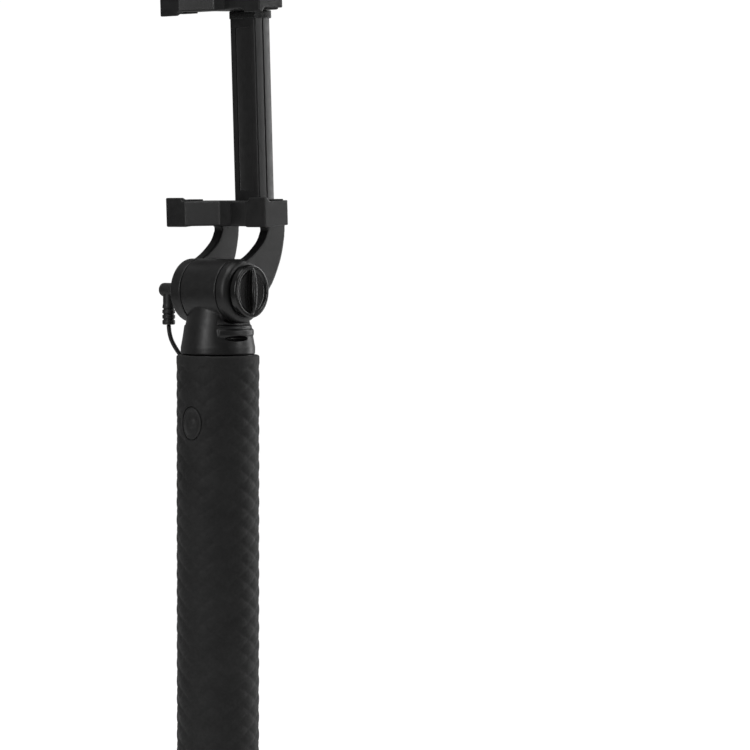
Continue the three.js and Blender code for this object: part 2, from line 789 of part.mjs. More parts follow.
function barBackCover() {
  const halfWidth = barHalfWidth - 1.5 * barWall - runGap;
  return boxBetween(
    [-halfWidth, barBack - barWall, barBottom + barFloor + restGap],
    [halfWidth, barBack - 0.2, barTop],
  );
}

function slideSlot(low, high) {
  return boxBetween(
    [-slideHalfWidth - runGap, barMiddle - slideThickness / 2 - runGap, low],
    [slideHalfWidth + runGap, barMiddle + slideThickness / 2 + runGap, high],
  );
}

function barCap() {
  const plate = boxBetween(
    [-barHalfWidth - capOverhang, barFront - capOverhang, capTop - capHeight],
    [barHalfWidth + capOverhang, barBack + capOverhang, capTop],
  );
  return cut(plate, slideSlot(capTop - capHeight - sinkDepth, capTop + sinkDepth));
}

function barScrew() {
  const headLow = bridgeBottom + restGap;
  const head = rodZ(screwHeadRadius, headLow, headLow + screwHeadDepth, 0, barMiddle, 24);
  return join(head, rodZ(screwRadius, headLow + 1, barBottom + barFloor - restGap, 0, barMiddle, 24));
}

function clampSpring(side) {
  const low = springPinHeight + springPinRadius + restGap;
  const high = slideBottom - restGap;
  return sleeve(springRadius, springHollow, low, high, 16).translate(side * springSpread, barMiddle, 0);
}

function buildBar(group) {
  add(group, 'bar_channel', barChannel(), satinBlack);
  add(group, 'bar_back_cover', barBackCover(), satinBlack);
  add(group, 'bar_cap', barCap(), glossBlack);
  add(group, 'bar_screw', barScrew(), zincSteel);
  const pinEnd = barHalfWidth - barGrooveDepth - 0.2;
  const springPin = rodX(springPinRadius, -pinEnd, pinEnd, barMiddle, springPinHeight, 16);
  add(group, 'spring_pin_lower', springPin, zincSteel);
  add(group, 'clamp_spring_left', clampSpring(-1), zincSteel);
  add(group, 'clamp_spring_right', clampSpring(1), zincSteel);
}

// the upper jaw and the flat bar that slides inside the channel
const jawTongueScrewRise = upperJawBottom + screwHeadRadius + 2 * restGap;
const slidePinRise = slideBottom + 2;

function slideBar() {
  const plate = boxBetween(
    [-slideHalfWidth, barMiddle - slideThickness / 2, slideBottom],
    [slideHalfWidth, barMiddle + slideThickness / 2, upperJawBottom + slideTongue],
  );
  const screwHole = rodY(screwRadius + runGap, barFront, barBack, 0, jawTongueScrewRise);
  const pinHole = rodX(
    springPinRadius + pressGap, -slideHalfWidth - 1, slideHalfWidth + 1, barMiddle, slidePinRise, 16,
  );
  return cut(plate, screwHole, pinHole);
}

function upperJaw() {
  const block = boxBetween(
    [-upperBlockHalfWidth, jawBack - 1, upperJawBottom],
    [upperBlockHalfWidth, bossBack, upperJawTop],
  );
  const screwHole = rodY(
    screwRadius + runGap, barFront, bossBack + sinkDepth, 0, jawTongueScrewRise,
  );
  const headSeat = rodY(
    screwHeadRadius + restGap, bossBack - screwHeadDepth - restGap, bossBack + sinkDepth,
    0, jawTongueScrewRise,
  );
  const pocket = slideSlot(upperJawBottom - sinkDepth, upperJawBottom + slideTongue + restGap);
  return cut(join(jaw(upperJawBottom, 1), block), pocket, screwHole, headSeat);
}

function buildUpperJaw(group) {
  add(group, 'slide_bar', slideBar(), zincSteel);
  add(group, 'upper_jaw', upperJaw(), satinBlack);
  const screwLength = bossBack - restGap - screwHeadDepth - barFront - restGap;
  const screw = rearScrew(0, jawTongueScrewRise, screwLength, bossBack - restGap);
  add(group, 'upper_jaw_screw', screw, zincSteel);
  add(group, 'upper_pad_left', padBox(-1, upperJawBottom, 1), padRubber);
  add(group, 'upper_pad_right', padBox(1, upperJawBottom, 1), padRubber);
  const pinEnd = slideHalfWidth - 0.1;
  const springPin = rodX(springPinRadius, -pinEnd, pinEnd, barMiddle, slidePinRise, 16);
  add(group, 'spring_pin_upper', springPin, zincSteel);
}

// ---------------------------------------------------------------- phone lead and plug
const plugBodyEnd = -eyeOuter - restGap - trunnionFlangeThickness - restGap;
const plugOuterEnd = plugBodyEnd - plugBodyLength;
const bootSide = plugOuterEnd + bootSetback;

// heights here are above the grip's rim
function curveAboveRim(list) {
  return new THREE.CatmullRomCurve3(list.map(([x, y, z]) => new THREE.Vector3(x, y, gripTop + z)));
}

function leadRelief() {
  const curve = curveAboveRim([
    [reliefSide, 12.6, reliefRise],
    [reliefSide, 14.7, 12.9],
    [-3.2, 16.9, 10.2],
    [-3.7, 18.9, 6],
    [-4.2, 19.8, 1.4],
    [-4.5, 20, -3.4],
  ]);
  const stem = rodY(reliefStemRadius, 12 - reliefStemDepth, 13.2, reliefSide, gripTop + reliefRise, 16);
  return join(alongCurve(reliefRadius, curve, 14, 12), stem);
}

function lead() {
  const curve = curveAboveRim([
    [-4.5, 20, -3.7],
    [-4.7, 20.2, -5.3],
    [-5.6, 20.3, -7],
    [-7.3, 19.9, -8.4],
    [-9.6, 18.8, -9.2],
    [-12.2, 17, -9.2],
    [-14.6, 14.6, -8.5],
    [-16.8, 11.8, -7.2],
    [-18.6, 9, -5.4],
    [-20.1, 6.4, -3.2],
    [-21.4, 4.1, -0.7],
    [bootSide + 1.1, 2.3, 2],
    [bootSide + 0.4, 1, 4.8],
    [bootSide + 0.1, 0.3, 7.4],
    [bootSide, 0, bootRise - restGap],
  ]);
  return alongCurve(leadRadius, curve, 26, 8);
}

function plugBoot() {
  const foot = gripTop + bootRise;
  const shoulder = foot + bootLength;
  const head = hingeHeight - plugBodyRadius - restGap;
  return turned([
    [0, foot],
    [bootRadius, foot],
    [bootRadius, shoulder],
    [bootNeckRadius, shoulder + 0.6],
    [bootNeckRadius, head],
    [0, head],
  ], 24).translate(bootSide, 0, 0);
}

function buildLead(group) {
  add(group, 'lead_relief', leadRelief(), leadJacket);
  add(group, 'lead', lead(), leadJacket);
  add(group, 'plug_boot', plugBoot(), leadJacket);
  add(group, 'plug_body', rodX(plugBodyRadius, plugOuterEnd, plugBodyEnd, 0, hingeHeight), leadJacket);
  const pinStart = plugBodyEnd + restGap;
  add(group, 'plug_pin', rodX(plugPinRadius, pinStart, plugPinEnd, 0, hingeHeight, 24), plugMetal);
}

// ---------------------------------------------------------------- the whole stick
const stick = new THREE.Group();
buildHandle(stick);
buildTubes(stick);
buildHead(stick);
buildKnob(stick);
buildLead(stick);

const clamp = new THREE.Group();
clamp.position.set(0, 0, hingeHeight);
clamp.rotation.x = THREE.MathUtils.degToRad(clampLean);
buildFork(clamp);
buildBar(clamp);
buildUpperJaw(clamp);
stick.add(clamp);

export default stick;
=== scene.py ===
# A closed-up selfie stick: handle, three telescopic tubes, hinged head and sprung phone clamp.
# Metres, +Z up. -Y is the side that faces the user, and +X is the knob's side.
import math

import bmesh
import bpy
from mathutils import Matrix, Vector


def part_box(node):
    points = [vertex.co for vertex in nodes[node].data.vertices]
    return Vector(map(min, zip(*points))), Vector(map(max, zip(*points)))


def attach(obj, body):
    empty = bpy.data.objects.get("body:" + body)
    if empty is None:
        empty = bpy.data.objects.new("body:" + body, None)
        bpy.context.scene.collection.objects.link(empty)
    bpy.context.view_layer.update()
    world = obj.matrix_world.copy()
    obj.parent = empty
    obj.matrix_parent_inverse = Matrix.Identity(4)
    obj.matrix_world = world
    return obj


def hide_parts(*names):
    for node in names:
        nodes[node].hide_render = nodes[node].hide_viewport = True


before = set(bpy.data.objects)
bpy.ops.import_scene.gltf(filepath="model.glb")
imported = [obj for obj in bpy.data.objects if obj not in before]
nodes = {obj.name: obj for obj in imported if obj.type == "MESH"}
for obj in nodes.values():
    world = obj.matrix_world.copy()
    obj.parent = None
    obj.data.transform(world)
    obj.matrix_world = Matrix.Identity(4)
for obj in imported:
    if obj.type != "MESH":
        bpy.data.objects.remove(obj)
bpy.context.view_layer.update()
scene = bpy.context.scene

# ------------------------------------------------------------------ camera, light and floor
# The stick is seen from its right front corner, a little from above, with room beside it.
# Soft boxes stand at its left, its right, behind and over it, and the world is dimmer in front.
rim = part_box("grip_sleeve")[1].z
view_turn = math.radians(40)
view_rise = math.radians(3)
view_distance = 1.1
view_width = 0.2698
room_beside = 0.0565
view_drop = 0.0073
sensor_width = 0.036
world_behind, world_ahead = 0.3, 0.12
world_turn = (-0.75, 0.65)
backdrop_strength = 1.02
floor_glow = 0.55
floor_radius = 0.7
floor_fade = (0.3, 0.95)

view_right = Vector((math.cos(view_turn), math.sin(view_turn), 0))
view_back = Vector((
    math.sin(view_turn) * math.cos(view_rise),
    -math.cos(view_turn) * math.cos(view_rise),
    math.sin(view_rise),
))
aim = Vector((0, 0, rim - view_drop))

camera_data = bpy.data.cameras.new("camera")
camera_data.sensor_width = 1000 * sensor_width
camera_data.lens = 1000 * sensor_width * view_distance / view_width
camera_data.clip_start = 0.01
camera_data.shift_x = room_beside / view_width
camera = bpy.data.objects.new("camera", camera_data)
camera.location = aim + view_distance * view_back
camera.rotation_mode = "QUATERNION"
camera.rotation_quaternion = (-view_back).to_track_quat("-Z", "Y")
scene.collection.objects.link(camera)
scene.camera = camera
scene.view_settings.view_transform = "Standard"


def soft_box(name, toward, distance, width, height, power):
    """A soft box that stands off in one direction and faces the head of the stick."""
    light = bpy.data.lights.new(name, "AREA")
    light.shape = "RECTANGLE"
    light.size = width
    light.size_y = height
    light.energy = power
    stand = bpy.data.objects.new(name, light)
    direction = Vector(toward).normalized()
    stand.location = Vector((0, 0, rim)) + distance * direction
    stand.rotation_mode = "QUATERNION"
    stand.rotation_quaternion = direction.to_track_quat("Z", "Y")
    scene.collection.objects.link(stand)


view_front = Vector((view_back.x, view_back.y, 0)).normalized()
for name, aside, ahead, above, distance, width, height, power in (
    ("left_box", -0.67, 0.74, 0.35, 0.9, 0.22, 0.7, 2.6),
    ("right_box", 0.97, 0.26, 0.25, 0.9, 0.14, 0.6, 1.3),
    ("rear_box", 0.83, -0.56, 0.2, 0.8, 0.26, 0.8, 2.2),
    ("top_box", 0, 0.15, 1, 1, 0.9, 0.9, 5),
):
    toward = aside * view_right + ahead * view_front + Vector((0, 0, above))
    soft_box(name, toward, distance, width, height, power)


def add_node(tree, kind, values=(), **settings):
    """A shader node with some of its settings and of its inputs' values."""
    made = tree.nodes.new("ShaderNode" + kind)
    for name, value in settings.items():
        setattr(made, name, value)
    for name, value in dict(values).items():
        made.inputs[name].default_value = value
    return made


def map_range(tree, low, high, start, end, **settings):
    """A node that spreads the values from low to high between start and end."""
    values = {"From Min": low, "From Max": high, "To Min": start, "To Max": end}
    return add_node(tree, "MapRange", values, **settings)


def pale_world():
    """White to look at, and brighter behind the stick than in front of it."""
    world = bpy.data.worlds.new("studio")
    world.use_nodes = True
    tree = world.node_tree
    tree.nodes.clear()
    direction = add_node(tree, "TexCoord")
    facing = add_node(tree, "VectorMath", {1: view_front}, operation="DOT_PRODUCT")
    spread = map_range(
        tree, *world_turn, world_behind, world_ahead, interpolation_type="SMOOTHSTEP",
    )
    lighting = add_node(tree, "Background")
    backdrop = add_node(tree, "Background", {"Strength": backdrop_strength, "Color": (1, 1, 1, 1)})
    ray = add_node(tree, "LightPath")
    choose = add_node(tree, "MixShader")
    out = add_node(tree, "OutputWorld")
    tree.links.new(direction.outputs["Generated"], facing.inputs[0])
    tree.links.new(facing.outputs["Value"], spread.inputs["Value"])
    tree.links.new(spread.outputs["Result"], lighting.inputs["Strength"])
    tree.links.new(ray.outputs["Is Camera Ray"], choose.inputs["Fac"])
    tree.links.new(lighting.outputs["Background"], choose.inputs[1])
    tree.links.new(backdrop.outputs["Background"], choose.inputs[2])
    tree.links.new(choose.outputs["Shader"], out.inputs["Surface"])
    scene.world = world


def floor_finish(fade_start, fade_end):
    """Pale paper that fades out before its edge, so that no horizon shows. It glows only to
    the camera, so that it lights nothing."""
    made = bpy.data.materials.new("pale_floor")
    made.use_nodes = True
    tree = made.node_tree
    paper = tree.nodes["Principled BSDF"]
    paper.inputs["Base Color"].default_value = (0.93, 0.93, 0.93, 1)
    paper.inputs["Roughness"].default_value = 0.8
    paper.inputs["Specular IOR Level"].default_value = 0.1
    paper.inputs["Emission Color"].default_value = (1, 1, 1, 1)
    place = add_node(tree, "TexCoord")
    reach = add_node(tree, "VectorMath", operation="LENGTH")
    fade = map_range(tree, fade_start, fade_end, 1, 0, interpolation_type="SMOOTHSTEP")
    ray = add_node(tree, "LightPath")
    glow = add_node(tree, "Math", {1: floor_glow}, operation="MULTIPLY")
    tree.links.new(ray.outputs["Is Camera Ray"], glow.inputs[0])
    tree.links.new(glow.outputs["Value"], paper.inputs["Emission Strength"])
    tree.links.new(place.outputs["Object"], reach.inputs[0])
    tree.links.new(reach.outputs["Value"], fade.inputs["Value"])
    tree.links.new(fade.outputs["Result"], paper.inputs["Alpha"])
    return made


def pale_floor(radius):
    shape = bmesh.new()
    bmesh.ops.create_circle(shape, cap_ends=True, segments=96, radius=radius)
    mesh = bpy.data.meshes.new("floor")
    shape.to_mesh(mesh)
    shape.free()
    mesh.materials.append(floor_finish(*(share * radius for share in floor_fade)))
    floor = bpy.data.objects.new("floor", mesh)
    scene.collection.objects.link(floor)


pale_world()
pale_floor(floor_radius)

# ------------------------------------------------------------------ phone lead
# A thin PVC-jacketed lead for the phone's headphone socket. It leaves the head through a
# moulded strain relief, swings round the grip's rim and runs up into the parked plug's boot.
lead_radius = 0.0008
boot_side = -0.0234
boot_rise = 0.0103
lead_gap = 0.0003
pattern_range = (0.3, 0.7)
lead_route = [
    (-0.0045, 0.02, rim - 0.0037),
    (-0.0047, 0.0202, rim - 0.0053),
    (-0.0056, 0.0203, rim - 0.007),
    (-0.0073, 0.0199, rim - 0.0084),
    (-0.0096, 0.0188, rim - 0.0092),
    (-0.0122, 0.017, rim - 0.0092),
    (-0.0146, 0.0146, rim - 0.0085),
    (-0.0168, 0.0118, rim - 0.0072),
    (-0.0186, 0.009, rim - 0.0054),
    (-0.0201, 0.0064, rim - 0.0032),
    (-0.0214, 0.0041, rim - 0.0007),
    (boot_side + 0.0011, 0.0023, rim + 0.002),
    (boot_side + 0.0004, 0.001, rim + 0.0048),
    (boot_side + 0.0001, 0.0003, rim + 0.0074),
    (boot_side, 0, rim + boot_rise - lead_gap),
]


def smooth_route(points, between=6):
    """Points along the smooth curve that passes through the chosen ones."""
    chosen = [Vector(point) for point in points]
    ends = [2 * chosen[0] - chosen[1], *chosen, 2 * chosen[-1] - chosen[-2]]
    route = []
    for first, second, third, fourth in zip(ends, ends[1:], ends[2:], ends[3:]):
        for step in range(between):
            t = step / between
            route.append(0.5 * (
                2 * second + (third - first) * t
                + (2 * first - 5 * second + 4 * third - fourth) * t ** 2
                + (3 * second - first - 3 * third + fourth) * t ** 3
            ))
    route.append(chosen[-1])
    return route


def tube_along(route, radii, sides=24):
    """A closed round bar along a route, with its own radius at each point of it."""
    shape = bmesh.new()
    turn = (route[1] - route[0]).to_track_quat("Z", "Y")
    last = route[1] - route[0]
    loops = []
    for index, (point, radius) in enumerate(zip(route, radii)):
        way = route[min(index + 1, len(route) - 1)] - route[max(index - 1, 0)]
        turn = last.rotation_difference(way) @ turn
        last = way
        place = Matrix.Translation(point) @ turn.to_matrix().to_4x4()
        ring = bmesh.ops.create_circle(shape, segments=sides, radius=radius, matrix=place)["verts"]
        if index in (0, len(route) - 1):
            shape.faces.new(ring)
        loops.append(ring)
    for near, far in zip(loops, loops[1:]):
        for side in range(sides):
            shape.faces.new((near[side - 1], near[side], far[side], far[side - 1]))
    return shape


def place_piece(shape, name, finish, body, slot, *stands_for, sharp=40):
    """Makes a finished shape a named piece that rides on a body in place of its CAD nodes."""
    bmesh.ops.recalc_face_normals(shape, faces=shape.faces)
    mesh = bpy.data.meshes.new(name)
    shape.to_mesh(mesh)
    shape.free()
    mesh.shade_smooth()
    mesh.set_sharp_from_angle(angle=math.radians(sharp))
    mesh.materials.append(finish)
    piece = bpy.data.objects.new(name, mesh)
    scene.collection.objects.link(piece)
    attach(piece, body)
    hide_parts(*stands_for)
    return piece


def new_finish(name, metallic=0.0, specular=0.5):
    """A material to fill in, with its node tree and its shader."""
    made = bpy.data.materials.new(name)
    made.use_nodes = True
    shader = made.node_tree.nodes["Principled BSDF"]
    shader.inputs["Metallic"].default_value = metallic
    shader.inputs["Specular IOR Level"].default_value = specular
    return made, made.node_tree, shader


def grain(tree, scale, detail=3.0, stretch=(1, 1, 1)):
    """Mottling fixed to the piece: scale is in spots to the metre."""
    place = add_node(tree, "TexCoord")
    mapping = add_node(tree, "Mapping", {"Scale": stretch})
    mottle = add_node(tree, "TexNoise", {"Scale": scale, "Detail": detail})
    tree.links.new(place.outputs["Object"], mapping.inputs["Vector"])
    tree.links.new(mapping.outputs["Vector"], mottle.inputs["Vector"])
    return mottle.outputs["Fac"]


def spread_values(tree, pattern, low, high, socket):
    """Spreads a pattern's range between two values of a shader's socket."""
    spread = map_range(tree, *pattern_range, low, high)
    tree.links.new(pattern, spread.inputs["Value"])
    tree.links.new(spread.outputs["Result"], socket)


def spread_colours(tree, pattern, dark, light, socket):
    """Spreads a pattern's range between two colours."""
    ramp = add_node(tree, "ValToRGB")
    for element, position, colour in zip(ramp.color_ramp.elements, pattern_range, (dark, light)):
        element.position = position
        element.color = (*colour, 1)
    tree.links.new(pattern, ramp.inputs["Fac"])
    tree.links.new(ramp.outputs["Color"], socket)


def emboss(tree, pattern, depth, shader):
    """Raises a pattern on the surface by a depth in metres."""
    bump = add_node(tree, "Bump", {"Strength": 1, "Distance": depth})
    tree.links.new(pattern, bump.inputs["Height"])
    tree.links.new(bump.outputs["Normal"], shader.inputs["Normal"])


def mottled_finish(name, colours, roughness, texture=None, **kind):
    """A material whose colour and roughness are mottled: each is a grain with a low and a high
    value. A texture is a grain with a depth. A grain is what the grain helper is given."""
    made, tree, shader = new_finish(name, **kind)
    spread_colours(tree, grain(tree, *colours[0]), *colours[1:], shader.inputs["Base Color"])
    spread_values(tree, grain(tree, *roughness[0]), *roughness[1:], shader.inputs["Roughness"])
    if texture:
        emboss(tree, grain(tree, *texture[0]), texture[1], shader)
    return made


def grey(level):
    return level, level, level


lead_jacket = mottled_finish(
    "lead_jacket", ((700,), grey(0.009), grey(0.016)), ((1500,), 0.42, 0.58), ((6000,), 0.00001),
)
lead_path = smooth_route(lead_route)
lead = place_piece(
    tube_along(lead_path, [lead_radius] * len(lead_path), 16),
    "phone_lead", lead_jacket, "head", "lead_jacket", "lead",
)

# ------------------------------------------------------------------ strain relief
# A soft moulded sleeve over the lead where it leaves the back of the head. It tapers, and
# it is ringed with grooves so that it bends evenly.
relief_radius = 0.00225
relief_tip_radius = 0.00175
relief_rise = 0.0137
relief_side = -0.003
rib_count = 9
rib_depth = 0.00035
relief_route = [
    (relief_side, 0.0116, rim + relief_rise + 0.0002),
    (relief_side, 0.0147, rim + 0.0129),
    (-0.0032, 0.0169, rim + 0.0102),
    (-0.0037, 0.0189, rim + 0.006),
    (-0.0042, 0.0198, rim + 0.0014),
    (-0.0045, 0.02, rim - 0.0034),
]


def relief_radii(count):
    """Smooth at the root, then ribs that grow finer as the sleeve tapers."""
    radii = []
    for index in range(count):
        share = index / (count - 1)
        taper = relief_radius + (relief_tip_radius - relief_radius) * share
        rib = 0.5 - 0.5 * math.cos(2 * math.pi * rib_count * (share - 0.2) / 0.75)
        ribbed = 0.2 < share < 0.95
        groove = rib_depth * rib ** 2 if ribbed else 0
        rounded = 0.0004 * max(0, share - 0.97) / 0.03
        radii.append(taper - groove - rounded)
    return radii


relief_path = smooth_route(relief_route, 24)
relief = place_piece(
    tube_along(relief_path, relief_radii(len(relief_path)), 32),
    "strain_relief", lead_jacket, "head", "lead_jacket", "lead_relief",
)

# ------------------------------------------------------------------ plug
# A right-angled moulded plug, parked across the hinge: a round head over the pin, a neck,
# and a ringed boot that the lead runs into. The nickel pin sits inside the hollow trunnion.
hinge_rise = 0.5 * (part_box("knob")[0].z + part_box("knob")[1].z)
plug_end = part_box("plug_body")[0].x
plug_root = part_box("plug_body")[1].x
plug_radius = 0.0025
boot_radius = 0.00235
boot_neck_radius = 0.0021
boot_length = 0.007
boot_rings = 3
boot_ring_pitch = 0.0019


def filleted(corners, steps):
    """An outline from corners that are (across, along, fillet), with the fillets as arcs."""
    outline = []
    for index, (across, along, fillet) in enumerate(corners):
        corner = Vector((across, along, 0))
        if fillet == 0:
            outline.append(corner)
            continue
        before = Vector((*corners[index - 1][:2], 0)) - corner
        after = Vector((*corners[(index + 1) % len(corners)][:2], 0)) - corner
        half = before.angle(after) / 2
        reach = min(fillet / math.tan(half), 0.49 * before.length, 0.49 * after.length)
        radius = reach * math.tan(half)
        inward = (before.normalized() + after.normalized()).normalized()
        middle = corner + inward * (radius / math.sin(half))
        start = corner + before.normalized() * reach - middle
        end = corner + after.normalized() * reach - middle
        for step in range(steps + 1):
            outline.append(middle + start.slerp(end, step / steps).normalized() * radius)
    return outline


def turned(corners, steps=72, fillet_steps=4):
    """A body of revolution about Z from its half section's (radius, height, fillet) corners."""
    shape = bmesh.new()
    outline = filleted(corners, fillet_steps)
    section = [shape.verts.new((point.x, 0, point.y)) for point in outline]
    pairs = list(zip(section, section[1:]))
    if outline[0].x > 0 or outline[-1].x > 0:
        pairs.append((section[-1], section[0]))
    edges = [shape.edges.new(pair) for pair in pairs]
    bmesh.ops.spin(
        shape, geom=section + edges, cent=(0, 0, 0), axis=(0, 0, 1),
        angle=2 * math.pi, steps=steps, use_merge=True,
    )
    bmesh.ops.remove_doubles(shape, verts=shape.verts, dist=1e-7)
    bmesh.ops.recalc_face_normals(shape, faces=shape.faces)
    return shape


def moved(shape, matrix):
    bmesh.ops.transform(shape, matrix=matrix, verts=shape.verts)
    return shape


# lays a shape turned about Z along X, with its foot at the left
onto_x = Matrix.Rotation(math.radians(90), 4, "Y")
at_hinge = Matrix.Translation((0, 0, hinge_rise))


def plug_boot_shape():
    """A ringed sleeve with a thinner neck that runs up into the plug's head."""
    groove_radius = boot_radius - 0.0004
    corners = [(0, 0, 0), (boot_radius - 0.0003, 0, 0.0003)]
    for ring in range(boot_rings):
        low = 0.0003 + ring * boot_ring_pitch
        corners += [
            (boot_radius, low + 0.0001, 0.0002), (boot_radius, low + boot_ring_pitch - 0.0006, 0.0002),
            (groove_radius, low + boot_ring_pitch - 0.0005, 0.0001),
            (groove_radius, low + boot_ring_pitch - 0.0001, 0.0001),
        ]
    head = hinge_rise - rim - boot_rise - 0.6 * plug_radius
    corners += [
        (boot_radius, boot_length - 0.001, 0.0002), (boot_radius - 0.0001, boot_length - 0.0001, 0.0003),
        (boot_neck_radius, boot_length + 0.0007, 0.0005), (boot_neck_radius, head, 0), (0, head, 0),
    ]
    return moved(turned(corners, 48), Matrix.Translation((boot_side, 0, rim + boot_rise)))


def plug_head_shape():
    """A round moulding along the pin, with its outer end rounded over."""
    length = plug_root - plug_end
    shape = turned([
        (0, 0, 0), (plug_radius, 0, 0.0014), (plug_radius, 0.0062, 0.0003),
        (plug_radius - 0.0003, 0.0065, 0.0002), (plug_radius - 0.0003, length - 0.0022, 0.0002),
        (plug_radius - 0.0006, length - 0.0018, 0.0003), (plug_radius - 0.0006, length, 0.0002),
        (0, length, 0),
    ], 64)
    return moved(shape, at_hinge @ Matrix.Translation((plug_end, 0, 0)) @ onto_x)


plug_boot = place_piece(plug_boot_shape(), "plug_sleeve", lead_jacket, "head", "lead_jacket", "plug_boot")
plug_head = place_piece(plug_head_shape(), "plug_head", lead_jacket, "head", "lead_jacket", "plug_body")


def refinish(names, finish):
    """Gives CAD nodes that stay their own finish."""
    for name in names:
        nodes[name].data.materials.clear()
        nodes[name].data.materials.append(finish)


plug_nickel = mottled_finish(
    "plug_nickel", ((400,), (0.62, 0.6, 0.55), (0.72, 0.71, 0.67)), ((2500,), 0.12, 0.26), metallic=1,
)
refinish(["plug_pin"], plug_nickel)

# ------------------------------------------------------------------ end cap
# A satin black plastic plug pressed into the foot of the handle tube. Its rim is chamfered,
# and its underside has a shallow ring so that it stands steadily.
grip_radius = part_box("grip_sleeve")[1].x
grip_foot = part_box("grip_sleeve")[0].z
cap_top = grip_foot - 0.0003
cap_spigot_radius = 0.00835
cap_spigot_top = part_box("end_cap")[1].z


# moulded ABS: a fine sparked texture, uneven sheen and faint handling marks
satin_black = mottled_finish(
    "satin_black_plastic", ((160, 5), (0.0055, 0.0055, 0.0057), (0.0095, 0.0095, 0.0097)),
    ((420, 6), 0.34, 0.47), ((5200, 2), 0.000012),
)


def end_cap_shape():
    return turned([
        (0, 0.0006, 0), (0.0095, 0.0006, 0.0003), (0.0099, 0, 0.0003), (grip_radius - 0.0013, 0, 0.0005),
        (grip_radius - 0.0001, 0.0013, 0.0006), (grip_radius - 0.0001, cap_top, 0.0003),
        (cap_spigot_radius, cap_top, 0.0002), (cap_spigot_radius, cap_spigot_top, 0.0005),
        (0, cap_spigot_top, 0),
    ], 96)


place_piece(end_cap_shape(), "foot_cap", satin_black, "handle", "satin_black_plastic", "end_cap")

# ------------------------------------------------------------------ grip
# A soft rubber sleeve moulded over the handle tube. Its skin is embossed all over with a
# woven pattern of small pillows, apart from a smooth band at each end and round the button.
pillow_columns = 20
pillow_pitch = 0.0065
pillow_depth = 0.0005
grip_skin = grip_radius - 0.00005
smooth_band = 0.004
grip_bore = 0.01005
seat_radius = 0.0131
seat_depth = 0.0018
button_low, button_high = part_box("shutter_button")
button_middle = 0.5 * (button_low.z + button_high.z)
button_half_width = button_high.x
button_half_height = 0.5 * (button_high.z - button_low.z)
button_gap = 0.0003
button_border = 0.0022


def smooth_step(value, low, high):
    share = min(1, max(0, (value - low) / (high - low)))
    return share * share * (3 - 2 * share)


def woven_relief(turn, height):
    """How deep the skin lies below the pillows' tops: the grooves cross as a plaited band."""
    rise = 2 * math.pi * height / pillow_pitch
    way = pillow_columns / 2 * turn
    right = abs(math.sin((way + rise) / 2))
    left = abs(math.sin((way - rise) / 2))
    over = 0.5 + 0.5 * math.cos(way) * math.cos(rise)
    return pillow_depth * (1 - (right * left) ** 0.45) * (0.75 + 0.25 * over)


def grip_shape():
    shape = turned([
        (grip_bore, grip_foot, 0), (grip_skin, grip_foot, 0.0006), (grip_skin, rim, 0.0008),
        (seat_radius, rim, 0.0002), (seat_radius, rim - seat_depth, 0), (grip_bore, rim - seat_depth, 0),
    ], 200)
    tall = [
        edge for edge in shape.edges
        if edge.calc_length() > 0.1 and edge.verts[0].co.to_2d().length > 0.9 * grip_skin
    ]
    bmesh.ops.subdivide_edges(shape, edges=tall, cuts=300, use_grid_fill=True)
    for vert in shape.verts:
        radius = vert.co.to_2d().length
        if radius < grip_skin - 0.00001:
            continue
        turn = math.atan2(vert.co.y, vert.co.x)
        ends = min(rim - vert.co.z, vert.co.z - grip_foot)
        amount = smooth_step(ends, 0.8 * smooth_band, smooth_band)
        aside = grip_radius * (turn + math.pi / 2) / (button_half_width + button_border)
        above = (vert.co.z - button_middle) / (button_half_height + button_border)
        amount *= smooth_step(math.hypot(aside, above), 0.85, 1.0)
        depth = amount * woven_relief(turn, vert.co.z)
        vert.co.x *= (radius - depth) / radius
        vert.co.y *= (radius - depth) / radius
    return shape


def rubber_finish(name, dark, light, roughness):
    """Soft-touch rubber: matt, slightly dusty, with a skin like fine leather."""
    made = mottled_finish(
        name, ((90, 6), grey(dark), grey(light)), ((900, 4), roughness - 0.08, roughness + 0.08),
        ((2600, 4), 0.00005), specular=0.35,
    )
    shader = made.node_tree.nodes["Principled BSDF"]
    shader.inputs["Sheen Weight"].default_value = 0.06
    shader.inputs["Sheen Roughness"].default_value = 0.4
    return made


grip_rubber = rubber_finish("grip_rubber", 0.007, 0.0145, 0.66)


def button_hole(grow):
    """The oval that the button stands in, as a bar through the front of the grip."""
    shape = bmesh.new()
    bmesh.ops.create_cone(
        shape, cap_ends=True, segments=64, radius1=1, radius2=1, depth=0.008,
        matrix=Matrix.Rotation(math.radians(90), 4, "X"),
    )
    size = (button_half_width + grow, 1, button_half_height + grow)
    bmesh.ops.scale(shape, vec=size, verts=shape.verts)
    return moved(shape, Matrix.Translation((0, -grip_radius, button_middle)))


def as_object(shape, name):
    mesh = bpy.data.meshes.new(name)
    shape.to_mesh(mesh)
    shape.free()
    made = bpy.data.objects.new(name, mesh)
    scene.collection.objects.link(made)
    return made


